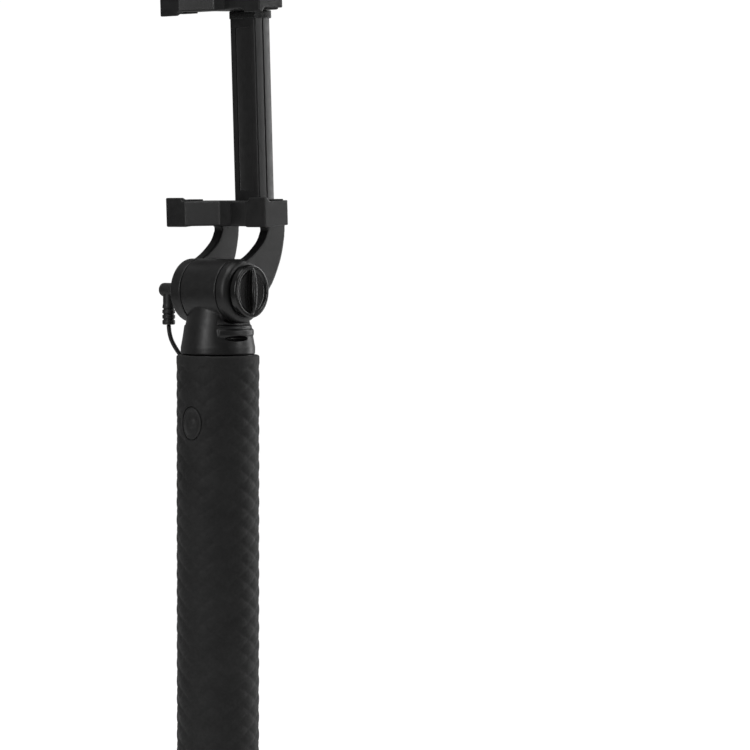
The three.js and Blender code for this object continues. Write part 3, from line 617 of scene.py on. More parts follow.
def fused(parts, cuts=(), voxel=None, softening=0):
    """Joins closed shapes and cuts others out. A voxel size makes the result one even skin,
    and softening then rounds its edges as a mould does."""
    joined = [as_object(part, "part") for part in parts]
    removed = [as_object(part, "cut") for part in cuts]
    body = joined[0]
    for operation, tools in (("UNION", joined[1:]), ("DIFFERENCE", removed)):
        for tool in tools:
            boolean = body.modifiers.new(operation, "BOOLEAN")
            boolean.operation = operation
            boolean.solver = "MANIFOLD"
            boolean.object = tool
    if voxel:
        remesh = body.modifiers.new("skin", "REMESH")
        remesh.mode = "VOXEL"
        remesh.voxel_size = voxel
    bpy.context.view_layer.update()
    mesh = bpy.data.meshes.new_from_object(body.evaluated_get(bpy.context.evaluated_depsgraph_get()))
    shape = bmesh.new()
    shape.from_mesh(mesh)
    for part in joined + removed:
        bpy.data.objects.remove(part)
    for _ in range(softening):
        bmesh.ops.smooth_vert(
            shape, verts=shape.verts, factor=0.5, use_axis_x=True, use_axis_y=True, use_axis_z=True,
        )
    return shape


place_piece(
    fused([grip_shape()], [button_hole(button_gap)]),
    "rubber_grip", grip_rubber, "handle", "grip_rubber", "grip_sleeve",
)

# ------------------------------------------------------------------ shutter button
# A soft rubber key in the front of the grip. Its face follows the grip's curve, its edge is
# rounded, and a shallow dish with a raised spot tells the thumb where to press.
button_back = button_high.y


def button_shape():
    """A round domed key of unit size, stretched to an oval and bent to the grip's curve."""
    thickness = button_back + grip_radius - 0.0001
    shape = turned([
        (0, 0, 0), (1, 0, 0), (1, thickness - 0.0003, 0), (0.985, thickness - 0.0001, 0),
        (0.94, thickness, 0), (0.86, thickness, 0), (0.78, thickness - 0.00035, 0),
        (0.4, thickness - 0.0005, 0), (0.3, thickness - 0.0004, 0), (0.22, thickness - 0.00015, 0),
        (0.1, thickness - 0.0001, 0), (0, thickness - 0.0001, 0),
    ], 72)
    moved(shape, Matrix.Rotation(math.radians(90), 4, "X"))
    bmesh.ops.scale(shape, vec=(button_half_width, 1, button_half_height), verts=shape.verts)
    for vert in shape.verts:
        bend = grip_radius - math.sqrt(grip_radius ** 2 - vert.co.x ** 2)
        front = -vert.co.y / thickness
        vert.co.y += bend * front
    return moved(shape, Matrix.Translation((0, button_back - 0.0001, button_middle)))


button_rubber = rubber_finish("button_rubber", 0.012, 0.02, 0.5)
place_piece(button_shape(), "shutter_key", button_rubber, "button", "button_rubber", "shutter_button")

# ------------------------------------------------------------------ ferrule
# A glossy black collar pressed into the handle tube's mouth. Its flange lies in the grip's
# rim, and the ring above it hides the gap to the head.
ferrule_low, ferrule_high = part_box("top_ferrule")
ferrule_flange = ferrule_high.x - 0.0001
ferrule_ring = 0.0107
ferrule_bore = 0.00765
ferrule_spigot = 0.00835


# polished ABS with a little orange peel and hairline scuffs
gloss_black = mottled_finish(
    "gloss_black_plastic", ((200, 4), grey(0.006), grey(0.01)),
    ((500, 6, (1, 1, 0.3)), 0.17, 0.29), ((900, 2), 0.000015),
)


def ferrule_shape():
    seat = rim - 0.0015
    return turned([
        (ferrule_bore, ferrule_low.z, 0.0003), (ferrule_spigot, ferrule_low.z, 0.0003),
        (ferrule_spigot, seat, 0), (ferrule_flange, seat, 0.0002), (ferrule_flange, rim + 0.0001, 0.0002),
        (ferrule_ring + 0.0006, rim + 0.0003, 0.0003), (ferrule_ring, rim + 0.0011, 0.0003),
        (ferrule_ring, ferrule_high.z, 0.0004), (ferrule_bore, ferrule_high.z, 0.0004),
    ], 120)


place_piece(ferrule_shape(), "mouth_ferrule", gloss_black, "handle", "gloss_black_plastic", "top_ferrule")

# ------------------------------------------------------------------ handle's inner pieces
# Inside the grip: the drawn aluminium handle tube, the plastic anchor that holds the inner
# cord, and the shutter's small circuit board with its switch and wire.
def drawn_aluminium_finish(name, dark, light, low, high):
    """Drawn tube: fine lines lie along it, and its anodised colour is slightly uneven."""
    return mottled_finish(
        name, ((260, 4, (1, 1, 0.12)), dark, light), ((1800, 4, (1, 1, 0.02)), low, high),
        ((5000, 2, (1, 1, 0.01)), 0.000004), metallic=1,
    )


def board_finish():
    """Green solder mask over copper tracks."""
    made, tree, shader = new_finish("board_green")
    place = add_node(tree, "TexCoord")
    tracks = add_node(tree, "TexBrick", {
        "Scale": 900, "Color1": (0.01, 0.05, 0.02, 1),
        "Color2": (0.012, 0.065, 0.025, 1), "Mortar": (0.02, 0.11, 0.045, 1),
    })
    tree.links.new(place.outputs["Object"], tracks.inputs["Vector"])
    tree.links.new(tracks.outputs["Color"], shader.inputs["Base Color"])
    spread_values(tree, grain(tree, 1200), 0.25, 0.4, shader.inputs["Roughness"])
    return made


bush_plastic = mottled_finish(
    "bush_plastic", ((300,), grey(0.008), (0.014, 0.014, 0.013)), ((800,), 0.42, 0.55),
    ((4000,), 0.000008), specular=0.4,
)
# bright zinc plate over pressed steel, with a faint spangle
zinc_steel = mottled_finish(
    "zinc_steel", ((1100, 5), (0.42, 0.42, 0.41), (0.6, 0.6, 0.58)), ((1600, 5), 0.24, 0.42),
    ((3500, 3), 0.00001), metallic=1,
)
plain_aluminium = drawn_aluminium_finish("plain_aluminium", grey(0.5), grey(0.62), 0.28, 0.42)
refinish(["handle_tube"], plain_aluminium)
refinish(["cord_anchor"], bush_plastic)
refinish(["switch_board"], board_finish())
refinish(["tact_switch"], zinc_steel)
refinish(["switch_wire", "inner_cord"], lead_jacket)

# ------------------------------------------------------------------ telescopic tubes
# Three bronze-anodised drawn aluminium tubes, each sliding in the one outside it. A rolled
# keyway down one side stops them turning, and a pressed dimple near the mouth holds the ring.
tube_wall = 0.0007
keyway_half_width = 0.0011
keyway_depth = 0.0003
dimple_radius = 0.0013
dimple_depth = 0.0004
dimple_drop = 0.005
bush_length = 0.01


def tube_shape(node, has_mouth):
    """A closed sleeve whose outer wall is pushed in along the keyway and at the dimple."""
    low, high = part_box(node)
    radius = high.y
    shape = turned([
        (radius - tube_wall, low.z, 0.0001), (radius, low.z, 0.0001),
        (radius, high.z, 0.0001), (radius - tube_wall, high.z, 0.0001),
    ], 180, 2)
    cutting = [high.z - dimple_drop + 0.0002 * row for row in range(-8, 9)]
    cutting += [low.z + bush_length - 0.001, low.z + bush_length, high.z - 2 * dimple_drop]
    for height in cutting:
        geometry = list(shape.verts) + list(shape.edges) + list(shape.faces)
        bmesh.ops.bisect_plane(
            shape, geom=geometry, dist=1e-7, plane_co=(0, 0, height), plane_no=(0, 0, 1),
        )
    middle = Vector((radius, 0, high.z - dimple_drop))
    for vert in shape.verts:
        if vert.co.to_2d().length < radius - 0.0003 or vert.co.x < 0:
            continue
        aside = radius * abs(math.atan2(vert.co.y, vert.co.x))
        trough = 1 - smooth_step(aside, 0.6 * keyway_half_width, keyway_half_width)
        along = smooth_step(vert.co.z, low.z + bush_length - 0.001, low.z + bush_length)
        along *= 1 - smooth_step(vert.co.z, high.z - 2 * dimple_drop, high.z - dimple_drop - 0.0016)
        depth = keyway_depth * trough * along
        if has_mouth:
            off = (vert.co - middle).length / dimple_radius
            depth = max(depth, dimple_depth * (1 - smooth_step(off, 0.15, 1)))
        vert.co.x -= depth
    return shape


bronze = drawn_aluminium_finish(
    "bronze_anodised", (0.235, 0.192, 0.18), (0.3, 0.247, 0.235), 0.24, 0.36,
)
for tube, body in (("tube_1", "tube_1"), ("tube_2", "tube_2"), ("tube_3", "head")):
    place_piece(tube_shape(tube, tube != "tube_3"), f"drawn_{tube}", bronze, body, "bronze_aluminium", tube)
refinish(["tube_1_bush", "tube_2_bush", "tube_3_bush"], bush_plastic)


def mouth_ring_shape(node, tube, inner_tube):
    """A bush inside the tube's mouth, with a rounded lip that covers the tube's end."""
    low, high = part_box(node)
    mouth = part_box(tube)[1].z
    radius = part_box(tube)[1].y
    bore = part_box(inner_tube)[1].y + 0.00015
    inside = radius - tube_wall - 0.00005
    return turned([
        (bore, low.z, 0.0002), (inside, low.z, 0.0002), (inside, mouth + 0.00003, 0),
        (radius, mouth + 0.00003, 0.0001), (radius, high.z, 0.0003), (bore, high.z, 0.0003),
    ], 96)


for tube, inner_tube in (("tube_1", "tube_2"), ("tube_2", "tube_3")):
    place_piece(
        mouth_ring_shape(f"{tube}_mouth_ring", tube, inner_tube),
        f"{tube}_mouth_bush", bush_plastic, tube, "bush_plastic", f"{tube}_mouth_ring",
    )

# ------------------------------------------------------------------ head
# One satin black moulding: a collar that covers the tubes' mouths, a cross drum that the
# fork turns on, and a finger tab under the knob for pulling the stick out.
drum_radius = 0.0115
drum_half = 0.0074
collar_foot = rim + 0.0003
band_radius = 0.0134
band_top = collar_foot + 0.0028
foot_radius = 0.01325
shoulder_radius = 0.0121
shoulder_top = rim + 0.0107
neck_radius = 0.0100
neck_top = rim + 0.0175
tab_half = 0.0072
tab_low = rim + 0.0071
tab_high = rim + 0.0095
tab_reach = 0.01305
slot_middle = rim + 0.0062
slot_size = (0.0028, 0.0052, 0.00105)
slot_turn = math.radians(-16)
ledge_front = 0.0096
washer_room = 0.0106
washer_room_gap = 0.00006
mouth_room, tube_room, wire_room = 0.0114, 0.00495, 0.0034
trunnion_bore = 0.00415
bolt_bore = 0.00265
nut_pocket = 0.0048
overcut = 0.001


def rod_x(radius, start, end, rounding=0.0, z=0.0, steps=72):
    """A round bar along X, with its end edges rounded."""
    shape = turned([
        (0, 0, 0), (radius, 0, rounding), (radius, end - start, rounding), (0, end - start, 0),
    ], steps)
    return moved(shape, Matrix.Translation((start, 0, z)) @ onto_x)


def rod_z(radius, low, high, steps=72):
    return turned([(0, low, 0), (radius, low, 0), (radius, high, 0), (0, high, 0)], steps)


def rod_y(radius, start, end, x=0.0, z=0.0, steps=32):
    shape = turned([(0, 0, 0), (radius, 0, 0), (radius, end - start, 0), (0, end - start, 0)], steps)
    return moved(shape, Matrix.Translation((x, end, z)) @ Matrix.Rotation(math.radians(90), 4, "X"))


def block(low, high, rounding=0.0, segments=3):
    """A box between two corners, with its edges rounded."""
    low, high = Vector(low), Vector(high)
    shape = bmesh.new()
    bmesh.ops.create_cube(shape, size=1)
    bmesh.ops.scale(shape, vec=high - low, verts=shape.verts)
    bmesh.ops.translate(shape, vec=0.5 * (low + high), verts=shape.verts)
    if rounding:
        bmesh.ops.bevel(
            shape, geom=shape.edges, offset=rounding, affect="EDGES",
            segments=segments, profile=0.5, material=-1,
        )
    return shape


def collar_shape():
    """The turned part of the head, from its band up to the neck under the drum."""
    return turned([
        (0, collar_foot, 0), (band_radius, collar_foot, 0.0004), (band_radius, band_top, 0.0003),
        (foot_radius, band_top + 0.0003, 0.0002), (shoulder_radius + 0.0005, shoulder_top - 0.0035, 0.004),
        (shoulder_radius, shoulder_top, 0.003), (neck_radius, neck_top, 0), (0, neck_top, 0),
    ], 120, 8)


def shoulder_cut(side):
    """The room beside the drum that the fork's eye turns in."""
    reach = side * (band_radius + overcut)
    ends = sorted((side * drum_half, reach))
    return block((ends[0], -band_radius, shoulder_top), (ends[1], band_radius, hinge_rise))


def tab_shape():
    """A ledge for a fingernail: a short arc of a ring that stands out of the collar."""
    ring = turned([
        (0.0105, tab_low, 0), (tab_reach, tab_low, 0.0002), (tab_reach, tab_high, 0.0008),
        (0.0105, tab_high, 0),
    ], 120)
    far = tab_reach + 0.001
    sides = [
        block((-far, -far, tab_low - overcut), (0.8 * drum_half, far, tab_high + overcut)),
        block((0, tab_half, tab_low - overcut), (far, far, tab_high + overcut)),
        block((0, -far, tab_low - overcut), (far, -ledge_front, tab_high + overcut)),
    ]
    return fused([ring], sides)


def slot_shape():
    """A lens-shaped hollow under the ledge."""
    shape = bmesh.new()
    bmesh.ops.create_icosphere(shape, subdivisions=4, radius=1)
    bmesh.ops.scale(shape, vec=slot_size, verts=shape.verts)
    out = Matrix.Translation((foot_radius - 0.0006, 0, slot_middle))
    return moved(shape, Matrix.Rotation(slot_turn, 4, "Z") @ out)


def head_shape():
    collar = fused([collar_shape()], [shoulder_cut(1), shoulder_cut(-1)])
    drum_reach = drum_half + 0.00075
    drum = rod_x(drum_radius, -drum_reach, drum_reach, 0.0004, z=hinge_rise, steps=120)
    recess_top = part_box("tube_1_mouth_ring")[1].z + 0.0012
    cuts = [
        rod_x(washer_room, drum_half + washer_room_gap, drum_reach + overcut, z=hinge_rise),
        rod_x(washer_room, -drum_reach - overcut, -drum_half - washer_room_gap, z=hinge_rise),
        rod_z(mouth_room, rim, recess_top),
        rod_z(tube_room, rim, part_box("tube_3")[1].z + 0.0003),
        rod_z(wire_room, rim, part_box("tube_3")[1].z + 0.0037, 32),
        rod_x(trunnion_bore, -drum_half - overcut, 0, z=hinge_rise, steps=48),
        rod_x(bolt_bore, -0.001, drum_half + overcut, z=hinge_rise, steps=48),
        rod_x(nut_pocket, -0.0023, 0.0045, z=hinge_rise, steps=6),
    ]
    head = fused([collar, drum, tab_shape()], cuts, voxel=0.00025, softening=3)
    return fused([head], [slot_shape()])


place_piece(head_shape(), "head_moulding", satin_black, "head", "satin_black_plastic", "head_body", sharp=60)
refinish(["head_pin", "hinge_nut", "hinge_bolt"], zinc_steel)
refinish(["friction_washer_left", "friction_washer_right"], bush_plastic)

# ------------------------------------------------------------------ parking bush
# The hollow trunnion that the fork's left eye turns on. The plug is parked in its bore, and
# its polished flange shows round the plug.
def parking_bush_shape():
    low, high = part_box("parking_bush")
    flange, journal, bore = 0.00545, 0.004, 0.00195
    flange_depth = 0.0012
    length = high.x - low.x
    shape = turned([
        (bore, 0, 0.0003), (flange, 0, 0.0004), (flange, flange_depth, 0.0001),
        (journal, flange_depth, 0), (journal, length, 0.0002), (bore, length, 0.0001),
    ], 72)
    return moved(shape, at_hinge @ Matrix.Translation((low.x, 0, 0)) @ onto_x)


place_piece(
    parking_bush_shape(),
    "parking_socket", gloss_black, "head", "gloss_black_plastic", "parking_bush",
)

# ------------------------------------------------------------------ knob
# A polished black knob on the hinge bolt. Its face is dished inside a rounded rim, and a
# finger fin stands across it.
knob_low, knob_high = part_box("knob")
knob_radius = 0.0095
knob_face = knob_low.x + 0.0029
fin_half = 0.001
fin_half_length = 0.008


def fin_shape():
    """A blade that swells in the middle and runs out into the rim at both ends."""
    shape = block(
        (knob_face - 0.0011, -fin_half, hinge_rise - fin_half_length),
        (knob_high.x, fin_half, hinge_rise + fin_half_length), 0.0005,
    )
    tall = [edge for edge in shape.edges if edge.calc_length() > 0.01]
    bmesh.ops.subdivide_edges(shape, edges=tall, cuts=18, use_grid_fill=True)
    for vert in shape.verts:
        share = (vert.co.z - hinge_rise) / fin_half_length
        vert.co.y *= 1.25 - 0.75 * share ** 2
        if vert.co.x > knob_face:
            vert.co.x -= (vert.co.x - knob_face) * 0.75 * share ** 4
    return shape


def knob_shape():
    disc = turned([
        (0, 0, 0), (knob_radius, 0, 0.0006), (knob_radius, knob_face - knob_low.x, 0.0011),
        (knob_radius - 0.0016, knob_face - knob_low.x, 0.0008),
        (knob_radius - 0.0024, knob_face - knob_low.x - 0.0006, 0.0012),
        (0.003, knob_face - knob_low.x - 0.0008, 0.002), (0, knob_face - knob_low.x - 0.0008, 0),
    ], 120, 6)
    moved(disc, at_hinge @ Matrix.Translation((knob_low.x, 0, 0)) @ onto_x)
    pocket = rod_x(0.00495, knob_low.x - overcut, knob_low.x + 0.0016, z=hinge_rise, steps=48)
    return fused([disc, fin_shape()], [pocket], voxel=0.00018, softening=3)


place_piece(knob_shape(), "hinge_knob", gloss_black, "knob", "gloss_black_plastic", "knob", sharp=60)

# ------------------------------------------------------------------ clamp fork
# A satin black moulding: two curved arms with round eyes that turn on the drum, and a bridge
# across their tops that carries the lower jaw and the bar. It leans forward a little as it
# is stored, so the clamp's pieces are shaped upright from the hinge axis and then turned.
clamp_lean = math.radians(2.5)
clamp_place = at_hinge @ Matrix.Rotation(clamp_lean, 4, "X")
eye_radius = 0.0115
eye_inner = drum_half + 0.0009
eye_outer = eye_inner + 0.0047
blade_inner, blade_outer = 0.0088, 0.0127
bridge_front, bridge_back = 0.0128, 0.0242
bridge_low, bridge_high = 0.0225, 0.0314
jaw_screw_side = 0.0094
jaw_screw_rise = 0.0278
screw_head_radius = 0.0027
screw_head_depth = 0.0021
screw_hole = 0.00155
screw_head_hole = 0.003
bar_half = 0.006
bar_front, bar_back = 0.0178, 0.0272
boss_back = 0.028
boss_inset = 0.00005
bar_middle = 0.5 * (bar_front + bar_back)

arm_back_edge = [
    (0.0092, -0.006), (0.0125, -0.0022), (0.0139, 0), (0.0162, 0.0026), (0.0189, 0.0067),
    (0.0212, 0.0112), (0.0227, 0.0159), (0.0236, 0.0207), (0.0239, bridge_high - 0.001),
]
arm_front_edge = [
    (0.0138, bridge_low - 0.0016), (0.0115, 0.0173), (0.0066, 0.0136), (0.0015, 0.011),
]


def smooth_edge(points):
    """A smooth line through a few (Y, Z) points, as outline corners."""
    route = smooth_route([(y, z, 0) for y, z in points], 5)
    return [(point.x, point.y, 0) for point in route]


def extruded(outline, push):
    """A plate with one face on an outline and the other pushed away from it."""
    shape = bmesh.new()
    face = shape.faces.new([shape.verts.new(point) for point in outline])
    pushed = bmesh.ops.extrude_face_region(shape, geom=[face])["geom"]
    new_verts = [item for item in pushed if isinstance(item, bmesh.types.BMVert)]
    bmesh.ops.translate(shape, vec=push, verts=new_verts)
    bmesh.ops.recalc_face_normals(shape, faces=shape.faces)
    return shape


def plate_x(corners, start, end):
    """A plate across X with a (Y, Z) outline."""
    outline = [(start, point.x, point.y) for point in filleted(corners, 4)]
    return extruded(outline, (end - start, 0, 0))


def arm_shape(side):
    """One arm and its eye. The knob's eye is rounded over, and the other has a ring round it."""
    corners = smooth_edge(arm_back_edge) + [(0.0138, bridge_high - 0.001, 0)]
    corners += smooth_edge(arm_front_edge) + [(0, 0, 0)]
    blade = plate_x(corners, *sorted((side * blade_inner, side * blade_outer)))
    depth = eye_outer - eye_inner
    ring = eye_radius - 0.0018
    faces = {
        1: [(eye_radius, depth, 0.003)],
        -1: [
            (eye_radius, depth, 0.0006), (ring, depth, 0), (ring, depth - 0.0005, 0),
            (ring - 0.0006, depth - 0.0005, 0), (ring - 0.0006, depth, 0),
        ],
    }
    eye = turned([(0, 0, 0), (eye_radius, 0, 0.0002), *faces[side], (0, depth, 0)], 120, 8)
    outward = Matrix.Rotation(math.radians(side * 90), 4, "Y")
    moved(eye, Matrix.Translation((side * eye_inner, 0, 0)) @ outward)
    return [blade, eye]


def fork_shape():
    bridge = block(
        (-eye_outer, bridge_front, bridge_low), (eye_outer, bridge_back, bridge_high), 0.0006,
    )
    boss = block(
        (-bar_half, bar_front, bridge_low + boss_inset),
        (bar_half, boss_back, bridge_high - boss_inset), 0.0006,
    )
    head_seat = bridge_back - screw_head_depth - 0.0003
    cuts = [
        rod_x(bolt_bore, eye_inner - overcut, eye_outer + overcut, steps=48),
        rod_x(trunnion_bore, -eye_outer - overcut, -eye_inner + overcut, steps=48),
        rod_z(screw_hole, bridge_low - overcut, bridge_high + overcut, 24),
        rod_z(screw_head_hole, bridge_low - overcut, bridge_low + 0.0026, 32),
    ]
    for hole in cuts[2:]:
        moved(hole, Matrix.Translation((0, bar_middle, 0)))
    for side in (-1, 1):
        x = side * jaw_screw_side
        cuts.append(rod_y(screw_head_hole, head_seat, bridge_back + overcut, x, jaw_screw_rise))
        ends = (bridge_front - overcut, bridge_back + overcut)
        cuts.append(rod_y(screw_hole, *ends, x, jaw_screw_rise, 24))
    return fused([*arm_shape(-1), *arm_shape(1), bridge, boss], cuts, voxel=0.00028, softening=4)


place_piece(
    moved(fork_shape(), clamp_place),
    "fork_moulding", satin_black, "clamp", "satin_black_plastic", "clamp_fork", sharp=60,
)

# ------------------------------------------------------------------ jaws
# Two satin black mouldings that face each other. Each is a cross bar with two prongs that
# reach forward, a small lip at each tip keeps the phone in, and a soft pad sits in a pocket
# of each prong.
jaw_half = 0.0232
jaw_front, jaw_back = -0.0005, 0.0125
prong_width = 0.009
cross_front = 0.0052
jaw_thickness = 0.0092
prong_taper = 0.0003
lip_length = 0.003
lip_height = 0.0014
lip_chamfer = 0.0013
lip_slope = 0.0018
slope_end = 0.0025
pad_side = 0.0066
pad_proud = 0.0005
pad_sunk = 0.0005
lower_jaw_face = 0.032
upper_jaw_face = 0.1002


def prong_shapes(side, face, way):
    """A prong and its lip. Way is -1 for a jaw that lies below its face, and 1 above it."""
    deep = face + way * jaw_thickness
    outer = side * jaw_half
    bar = plate_x([
        (jaw_front, deep, 0.0004), (cross_front + 0.001, deep - way * prong_taper, 0),
        (cross_front + 0.001, face, 0), (jaw_front, face, 0),
    ], *sorted((outer, outer - side * prong_width)))
    lip = plate_x([
        (jaw_front, face + way * 0.001, 0), (jaw_front, face - way * lip_height, 0.0003),
        (jaw_front + lip_length - lip_chamfer, face - way * lip_height, 0.0003),
        (jaw_front + lip_length, face, 0), (jaw_front + lip_length, face + way * 0.001, 0),
    ], *sorted((outer, outer - side * prong_width)))
    for vert in lip.verts:
        inner_end = abs(vert.co.x) < jaw_half - 0.5 * prong_width
        if inner_end and way * (face - vert.co.z) > 0.0005:
            vert.co.x += side * lip_slope
    return [bar, lip]


def plate_z(corners, low, high, fillet_steps=4):
    """A bar along Z with an (X, Y) outline."""
    outline = [(point.x, point.y, low) for point in filleted(corners, fillet_steps)]
    return extruded(outline, (0, 0, high - low))


def prong_slope(side, low, high):
    """The slope from a prong's inner edge back to the cross bar."""
    inner = side * (jaw_half - prong_width)
    root = cross_front + 0.001
    return plate_z([
        (inner + side * 0.001, jaw_front, 0), (inner, jaw_front, 0), (side * slope_end, cross_front, 0),
        (side * slope_end, root, 0), (inner + side * 0.001, root, 0),
    ], low, high)


def pad_corners(side, face, way, gap=0.0):
    middle = side * (jaw_half - prong_width / 2)
    front = jaw_back - 0.001 - pad_side
    heights = sorted((face - way * (pad_proud + gap), face + way * (pad_sunk + gap)))
    low = (middle - pad_side / 2 - gap, front - gap, heights[0])
    high = (middle + pad_side / 2 + gap, front + pad_side + gap, heights[1])
    return low, high


def jaw_shape(face, way, extra=(), cuts=()):
    heights = sorted((face, face + way * (jaw_thickness - prong_taper)))
    cross = block((-jaw_half, cross_front, heights[0]), (jaw_half, jaw_back, heights[1]))
    pockets = [block(*pad_corners(side, face, way, 0.0002)) for side in (-1, 1)]
    slopes = [prong_slope(side, *heights) for side in (-1, 1)]
    parts = [cross, *prong_shapes(-1, face, way), *prong_shapes(1, face, way), *slopes, *extra]
    return fused(parts, [*pockets, *cuts], voxel=0.00024, softening=3)


def pad_shape(side, face, way):
    """A soft pad: rounded edges and three low ribs across its face."""
    low, high = pad_corners(side, face, way)
    pad = block(low, high, 0.00025)
    long_edges = [edge for edge in pad.edges if edge.calc_length() > 0.8 * pad_side]
    bmesh.ops.subdivide_edges(pad, edges=long_edges, cuts=36, use_grid_fill=True)
    top = face - way * pad_proud
    for vert in pad.verts:
        if abs(vert.co.z - top) < 0.00002:
            share = (vert.co.y - low[1]) / pad_side
            vert.co.z += way * 0.0002 * (0.5 + 0.5 * math.cos(8 * math.pi * share))
    return pad


lower_cuts = [
    rod_y(screw_hole, cross_front + 0.0012, jaw_back + overcut, side * jaw_screw_side, jaw_screw_rise, 24)
    for side in (-1, 1)
]
place_piece(
    moved(jaw_shape(lower_jaw_face, -1, cuts=lower_cuts), clamp_place),
    "lower_jaw_moulding", satin_black, "clamp", "satin_black_plastic", "lower_jaw", sharp=60,
)

upper_block_half = 0.009
tongue_half = 0.0039
tongue_thickness = 0.0026
tongue_length = 0.006
tongue_gap = 0.00015
upper_screw_rise = upper_jaw_face + screw_head_radius + 0.0006
tongue_low = (
    -tongue_half - tongue_gap, bar_middle - tongue_thickness / 2 - tongue_gap,
    upper_jaw_face - overcut,
)
tongue_high = (
    tongue_half + tongue_gap, bar_middle + tongue_thickness / 2 + tongue_gap,
    upper_jaw_face + tongue_length + 0.0003,
)
upper_block = block(
    (-upper_block_half, jaw_back - 0.001, upper_jaw_face),
    (upper_block_half, boss_back, upper_jaw_face + jaw_thickness), 0.0006,
)
upper_cuts = [
    block(tongue_low, tongue_high),
    rod_y(screw_hole, bar_front, boss_back + overcut, 0, upper_screw_rise, 24),
    rod_y(screw_head_hole, boss_back - screw_head_depth - 0.0003, boss_back + overcut, 0, upper_screw_rise),
]
place_piece(
    moved(jaw_shape(upper_jaw_face, 1, [upper_block], upper_cuts), clamp_place),
    "upper_jaw_moulding", satin_black, "upper_jaw", "satin_black_plastic", "upper_jaw", sharp=60,
)

pad_rubber = rubber_finish("pad_rubber", 0.01, 0.017, 0.8)
for word, side in (("left", -1), ("right", 1)):
    place_piece(
        moved(pad_shape(side, lower_jaw_face, -1), clamp_place),
        f"lower_grip_pad_{word}", pad_rubber, "clamp", "pad_rubber", f"lower_pad_{word}",
    )
    place_piece(
        moved(pad_shape(side, upper_jaw_face, 1), clamp_place),
        f"upper_grip_pad_{word}", pad_rubber, "upper_jaw", "pad_rubber", f"upper_pad_{word}",
    )

# ------------------------------------------------------------------ screws
# Zinc-plated pan-head screws with cross recesses hold the lower jaw to the bridge, and the
# upper jaw to its slide, from the back.
screw_radius = 0.0014


def rear_screw_shape(x, rise, back, length):
    """A pan-head screw along Y whose head faces the back of the clamp."""
    head_face = back - 0.0003
    screw = turned([
        (0, 0, 0), (screw_head_radius, 0, 0.0009), (screw_head_radius, screw_head_depth, 0.0001),
        (screw_radius, screw_head_depth, 0), (screw_radius, screw_head_depth + length, 0.0005),
        (0, screw_head_depth + length, 0),
    ], 48)
    arm, narrow, deep = 0.0014, 0.0003, 0.0011
    cross_cuts = [
        block((-arm, -narrow, -0.001), (arm, narrow, deep)),
        block((-narrow, -arm, -0.001), (narrow, arm, deep)),
    ]
    screw = fused([screw], cross_cuts)
    upright = Matrix.Translation((x, head_face, rise)) @ Matrix.Rotation(math.radians(90), 4, "X")
    return moved(screw, clamp_place @ upright)


for word, side in (("left", -1), ("right", 1)):
    place_piece(
        rear_screw_shape(side * jaw_screw_side, jaw_screw_rise, bridge_back, 0.014),
        f"jaw_screw_{word}", zinc_steel, "clamp", "zinc_steel", f"lower_jaw_screw_{word}", sharp=30,
    )
place_piece(
    rear_screw_shape(0, upper_screw_rise, boss_back, boss_back - bar_front - screw_head_depth - 0.0006),
    "slide_screw", zinc_steel, "upper_jaw", "zinc_steel", "upper_jaw_screw", sharp=30,
)
refinish(["bar_screw"], zinc_steel)

# ------------------------------------------------------------------ bar
# A satin black channel that holds the springs and the slide. A shallow panel is sunk into
# its front, a seam runs down each side, and behind the seam the side is drawn in a little.
bar_low = bridge_high + 0.0003
cap_depth = 0.0024
cap_overhang = 0.0001
bar_high = upper_jaw_face - 0.0003 - cap_depth - 0.0003
bar_wall = 0.0016
bar_floor = 0.004
panel_half = 0.0034
panel_depth = 0.0004
seam_y = 0.0221
seam_half = 0.0004
seam_depth = 0.0004
draw_in = 0.0007


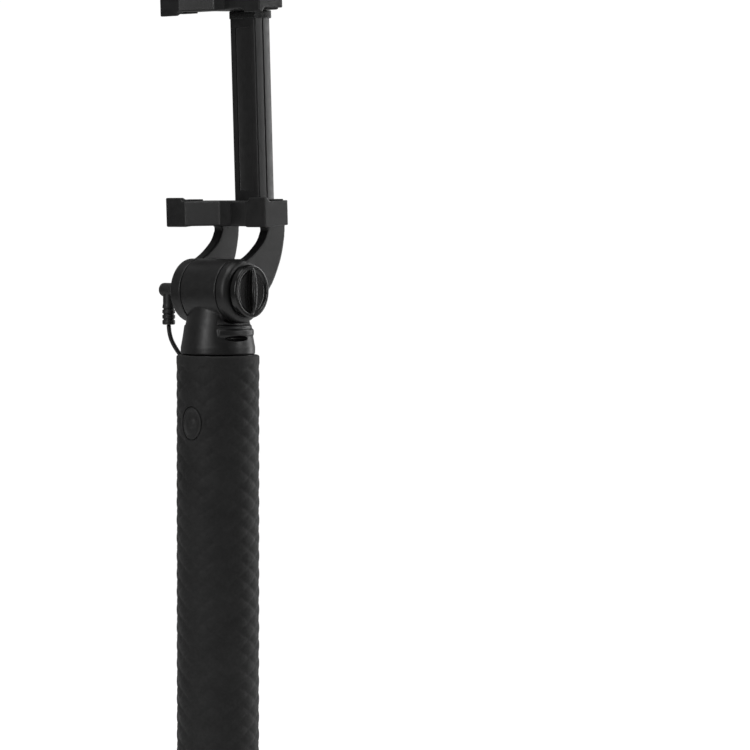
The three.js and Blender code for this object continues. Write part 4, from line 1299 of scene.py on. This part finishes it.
def bar_shape():
    """Half the outline is given, and the other half is its mirror image."""
    seam_low, seam_high = seam_y - seam_half, seam_y + seam_half
    half = [
        (bar_half - 0.0001, bar_front, 0.0007), (bar_half, seam_low, 0.00012),
        (bar_half - seam_depth, seam_low, 0.0001), (bar_half - seam_depth, seam_high, 0.0001),
        (bar_half - 0.0001, seam_high, 0.00015), (bar_half - draw_in, bar_back, 0.0008),
    ]
    mirrored = [(-x, y, fillet) for x, y, fillet in reversed(half)]
    body = plate_z(half + mirrored, bar_low, bar_high, 5)
    slot_half = bar_half - 1.5 * bar_wall
    cuts = [
        block(
            (-bar_half + bar_wall, bar_front + bar_wall, bar_low + bar_floor),
            (bar_half - bar_wall, bar_back - bar_wall, bar_high + overcut),
        ),
        block(
            (-slot_half, bar_middle, bar_low + bar_floor),
            (slot_half, bar_back + overcut, bar_high + overcut),
        ),
        block(
            (-panel_half, bar_front - overcut, bar_low + 0.0035),
            (panel_half, bar_front + panel_depth, bar_high - 0.003), 0.0003,
        ),
    ]
    hole = rod_z(screw_hole, bar_low - overcut, bar_low + bar_floor + overcut, 24)
    cuts.append(moved(hole, Matrix.Translation((0, bar_middle, 0))))
    return fused([body], cuts)


def bar_cover_shape():
    """A strip snapped into the channel's back over the springs."""
    slot_half = bar_half - 1.5 * bar_wall - 0.00015
    return block(
        (-slot_half, bar_back - bar_wall, bar_low + bar_floor + 0.0003),
        (slot_half, bar_back - 0.0002, bar_high), 0.0003,
    )


def bar_cap_shape():
    """A polished plate on the channel's top, slotted for the slide."""
    high = upper_jaw_face - 0.0001
    plate = block(
        (-bar_half - cap_overhang, bar_front - cap_overhang, bar_high),
        (bar_half + cap_overhang, bar_back + cap_overhang, high), 0.0004, 4,
    )
    slot = block((*tongue_low[:2], bar_high - overcut), (*tongue_high[:2], high + overcut))
    return fused([plate], [slot])


def slide_shape():
    """The flat steel slide that carries the upper jaw."""
    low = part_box("slide_bar")[0].z - hinge_rise
    reach = (low + 0.0002 + bar_middle * math.sin(clamp_lean)) / math.cos(clamp_lean)
    return block(
        (-tongue_half, bar_middle - tongue_thickness / 2, reach),
        (tongue_half, bar_middle + tongue_thickness / 2, upper_jaw_face + tongue_length), 0.0003,
    )


for shape, name, finish, body, slot, node in (
    (bar_shape(), "bar_moulding", satin_black, "clamp", "satin_black_plastic", "bar_channel"),
    (bar_cover_shape(), "bar_rear_strip", satin_black, "clamp", "satin_black_plastic", "bar_back_cover"),
    (bar_cap_shape(), "bar_top_plate", gloss_black, "clamp", "gloss_black_plastic", "bar_cap"),
    (slide_shape(), "steel_slide", zinc_steel, "upper_jaw", "zinc_steel", "slide_bar"),
):
    place_piece(moved(shape, clamp_place), name, finish, body, slot, node, sharp=30)
refinish(["spring_pin_lower", "spring_pin_upper", "clamp_spring_left", "clamp_spring_right"], zinc_steel)
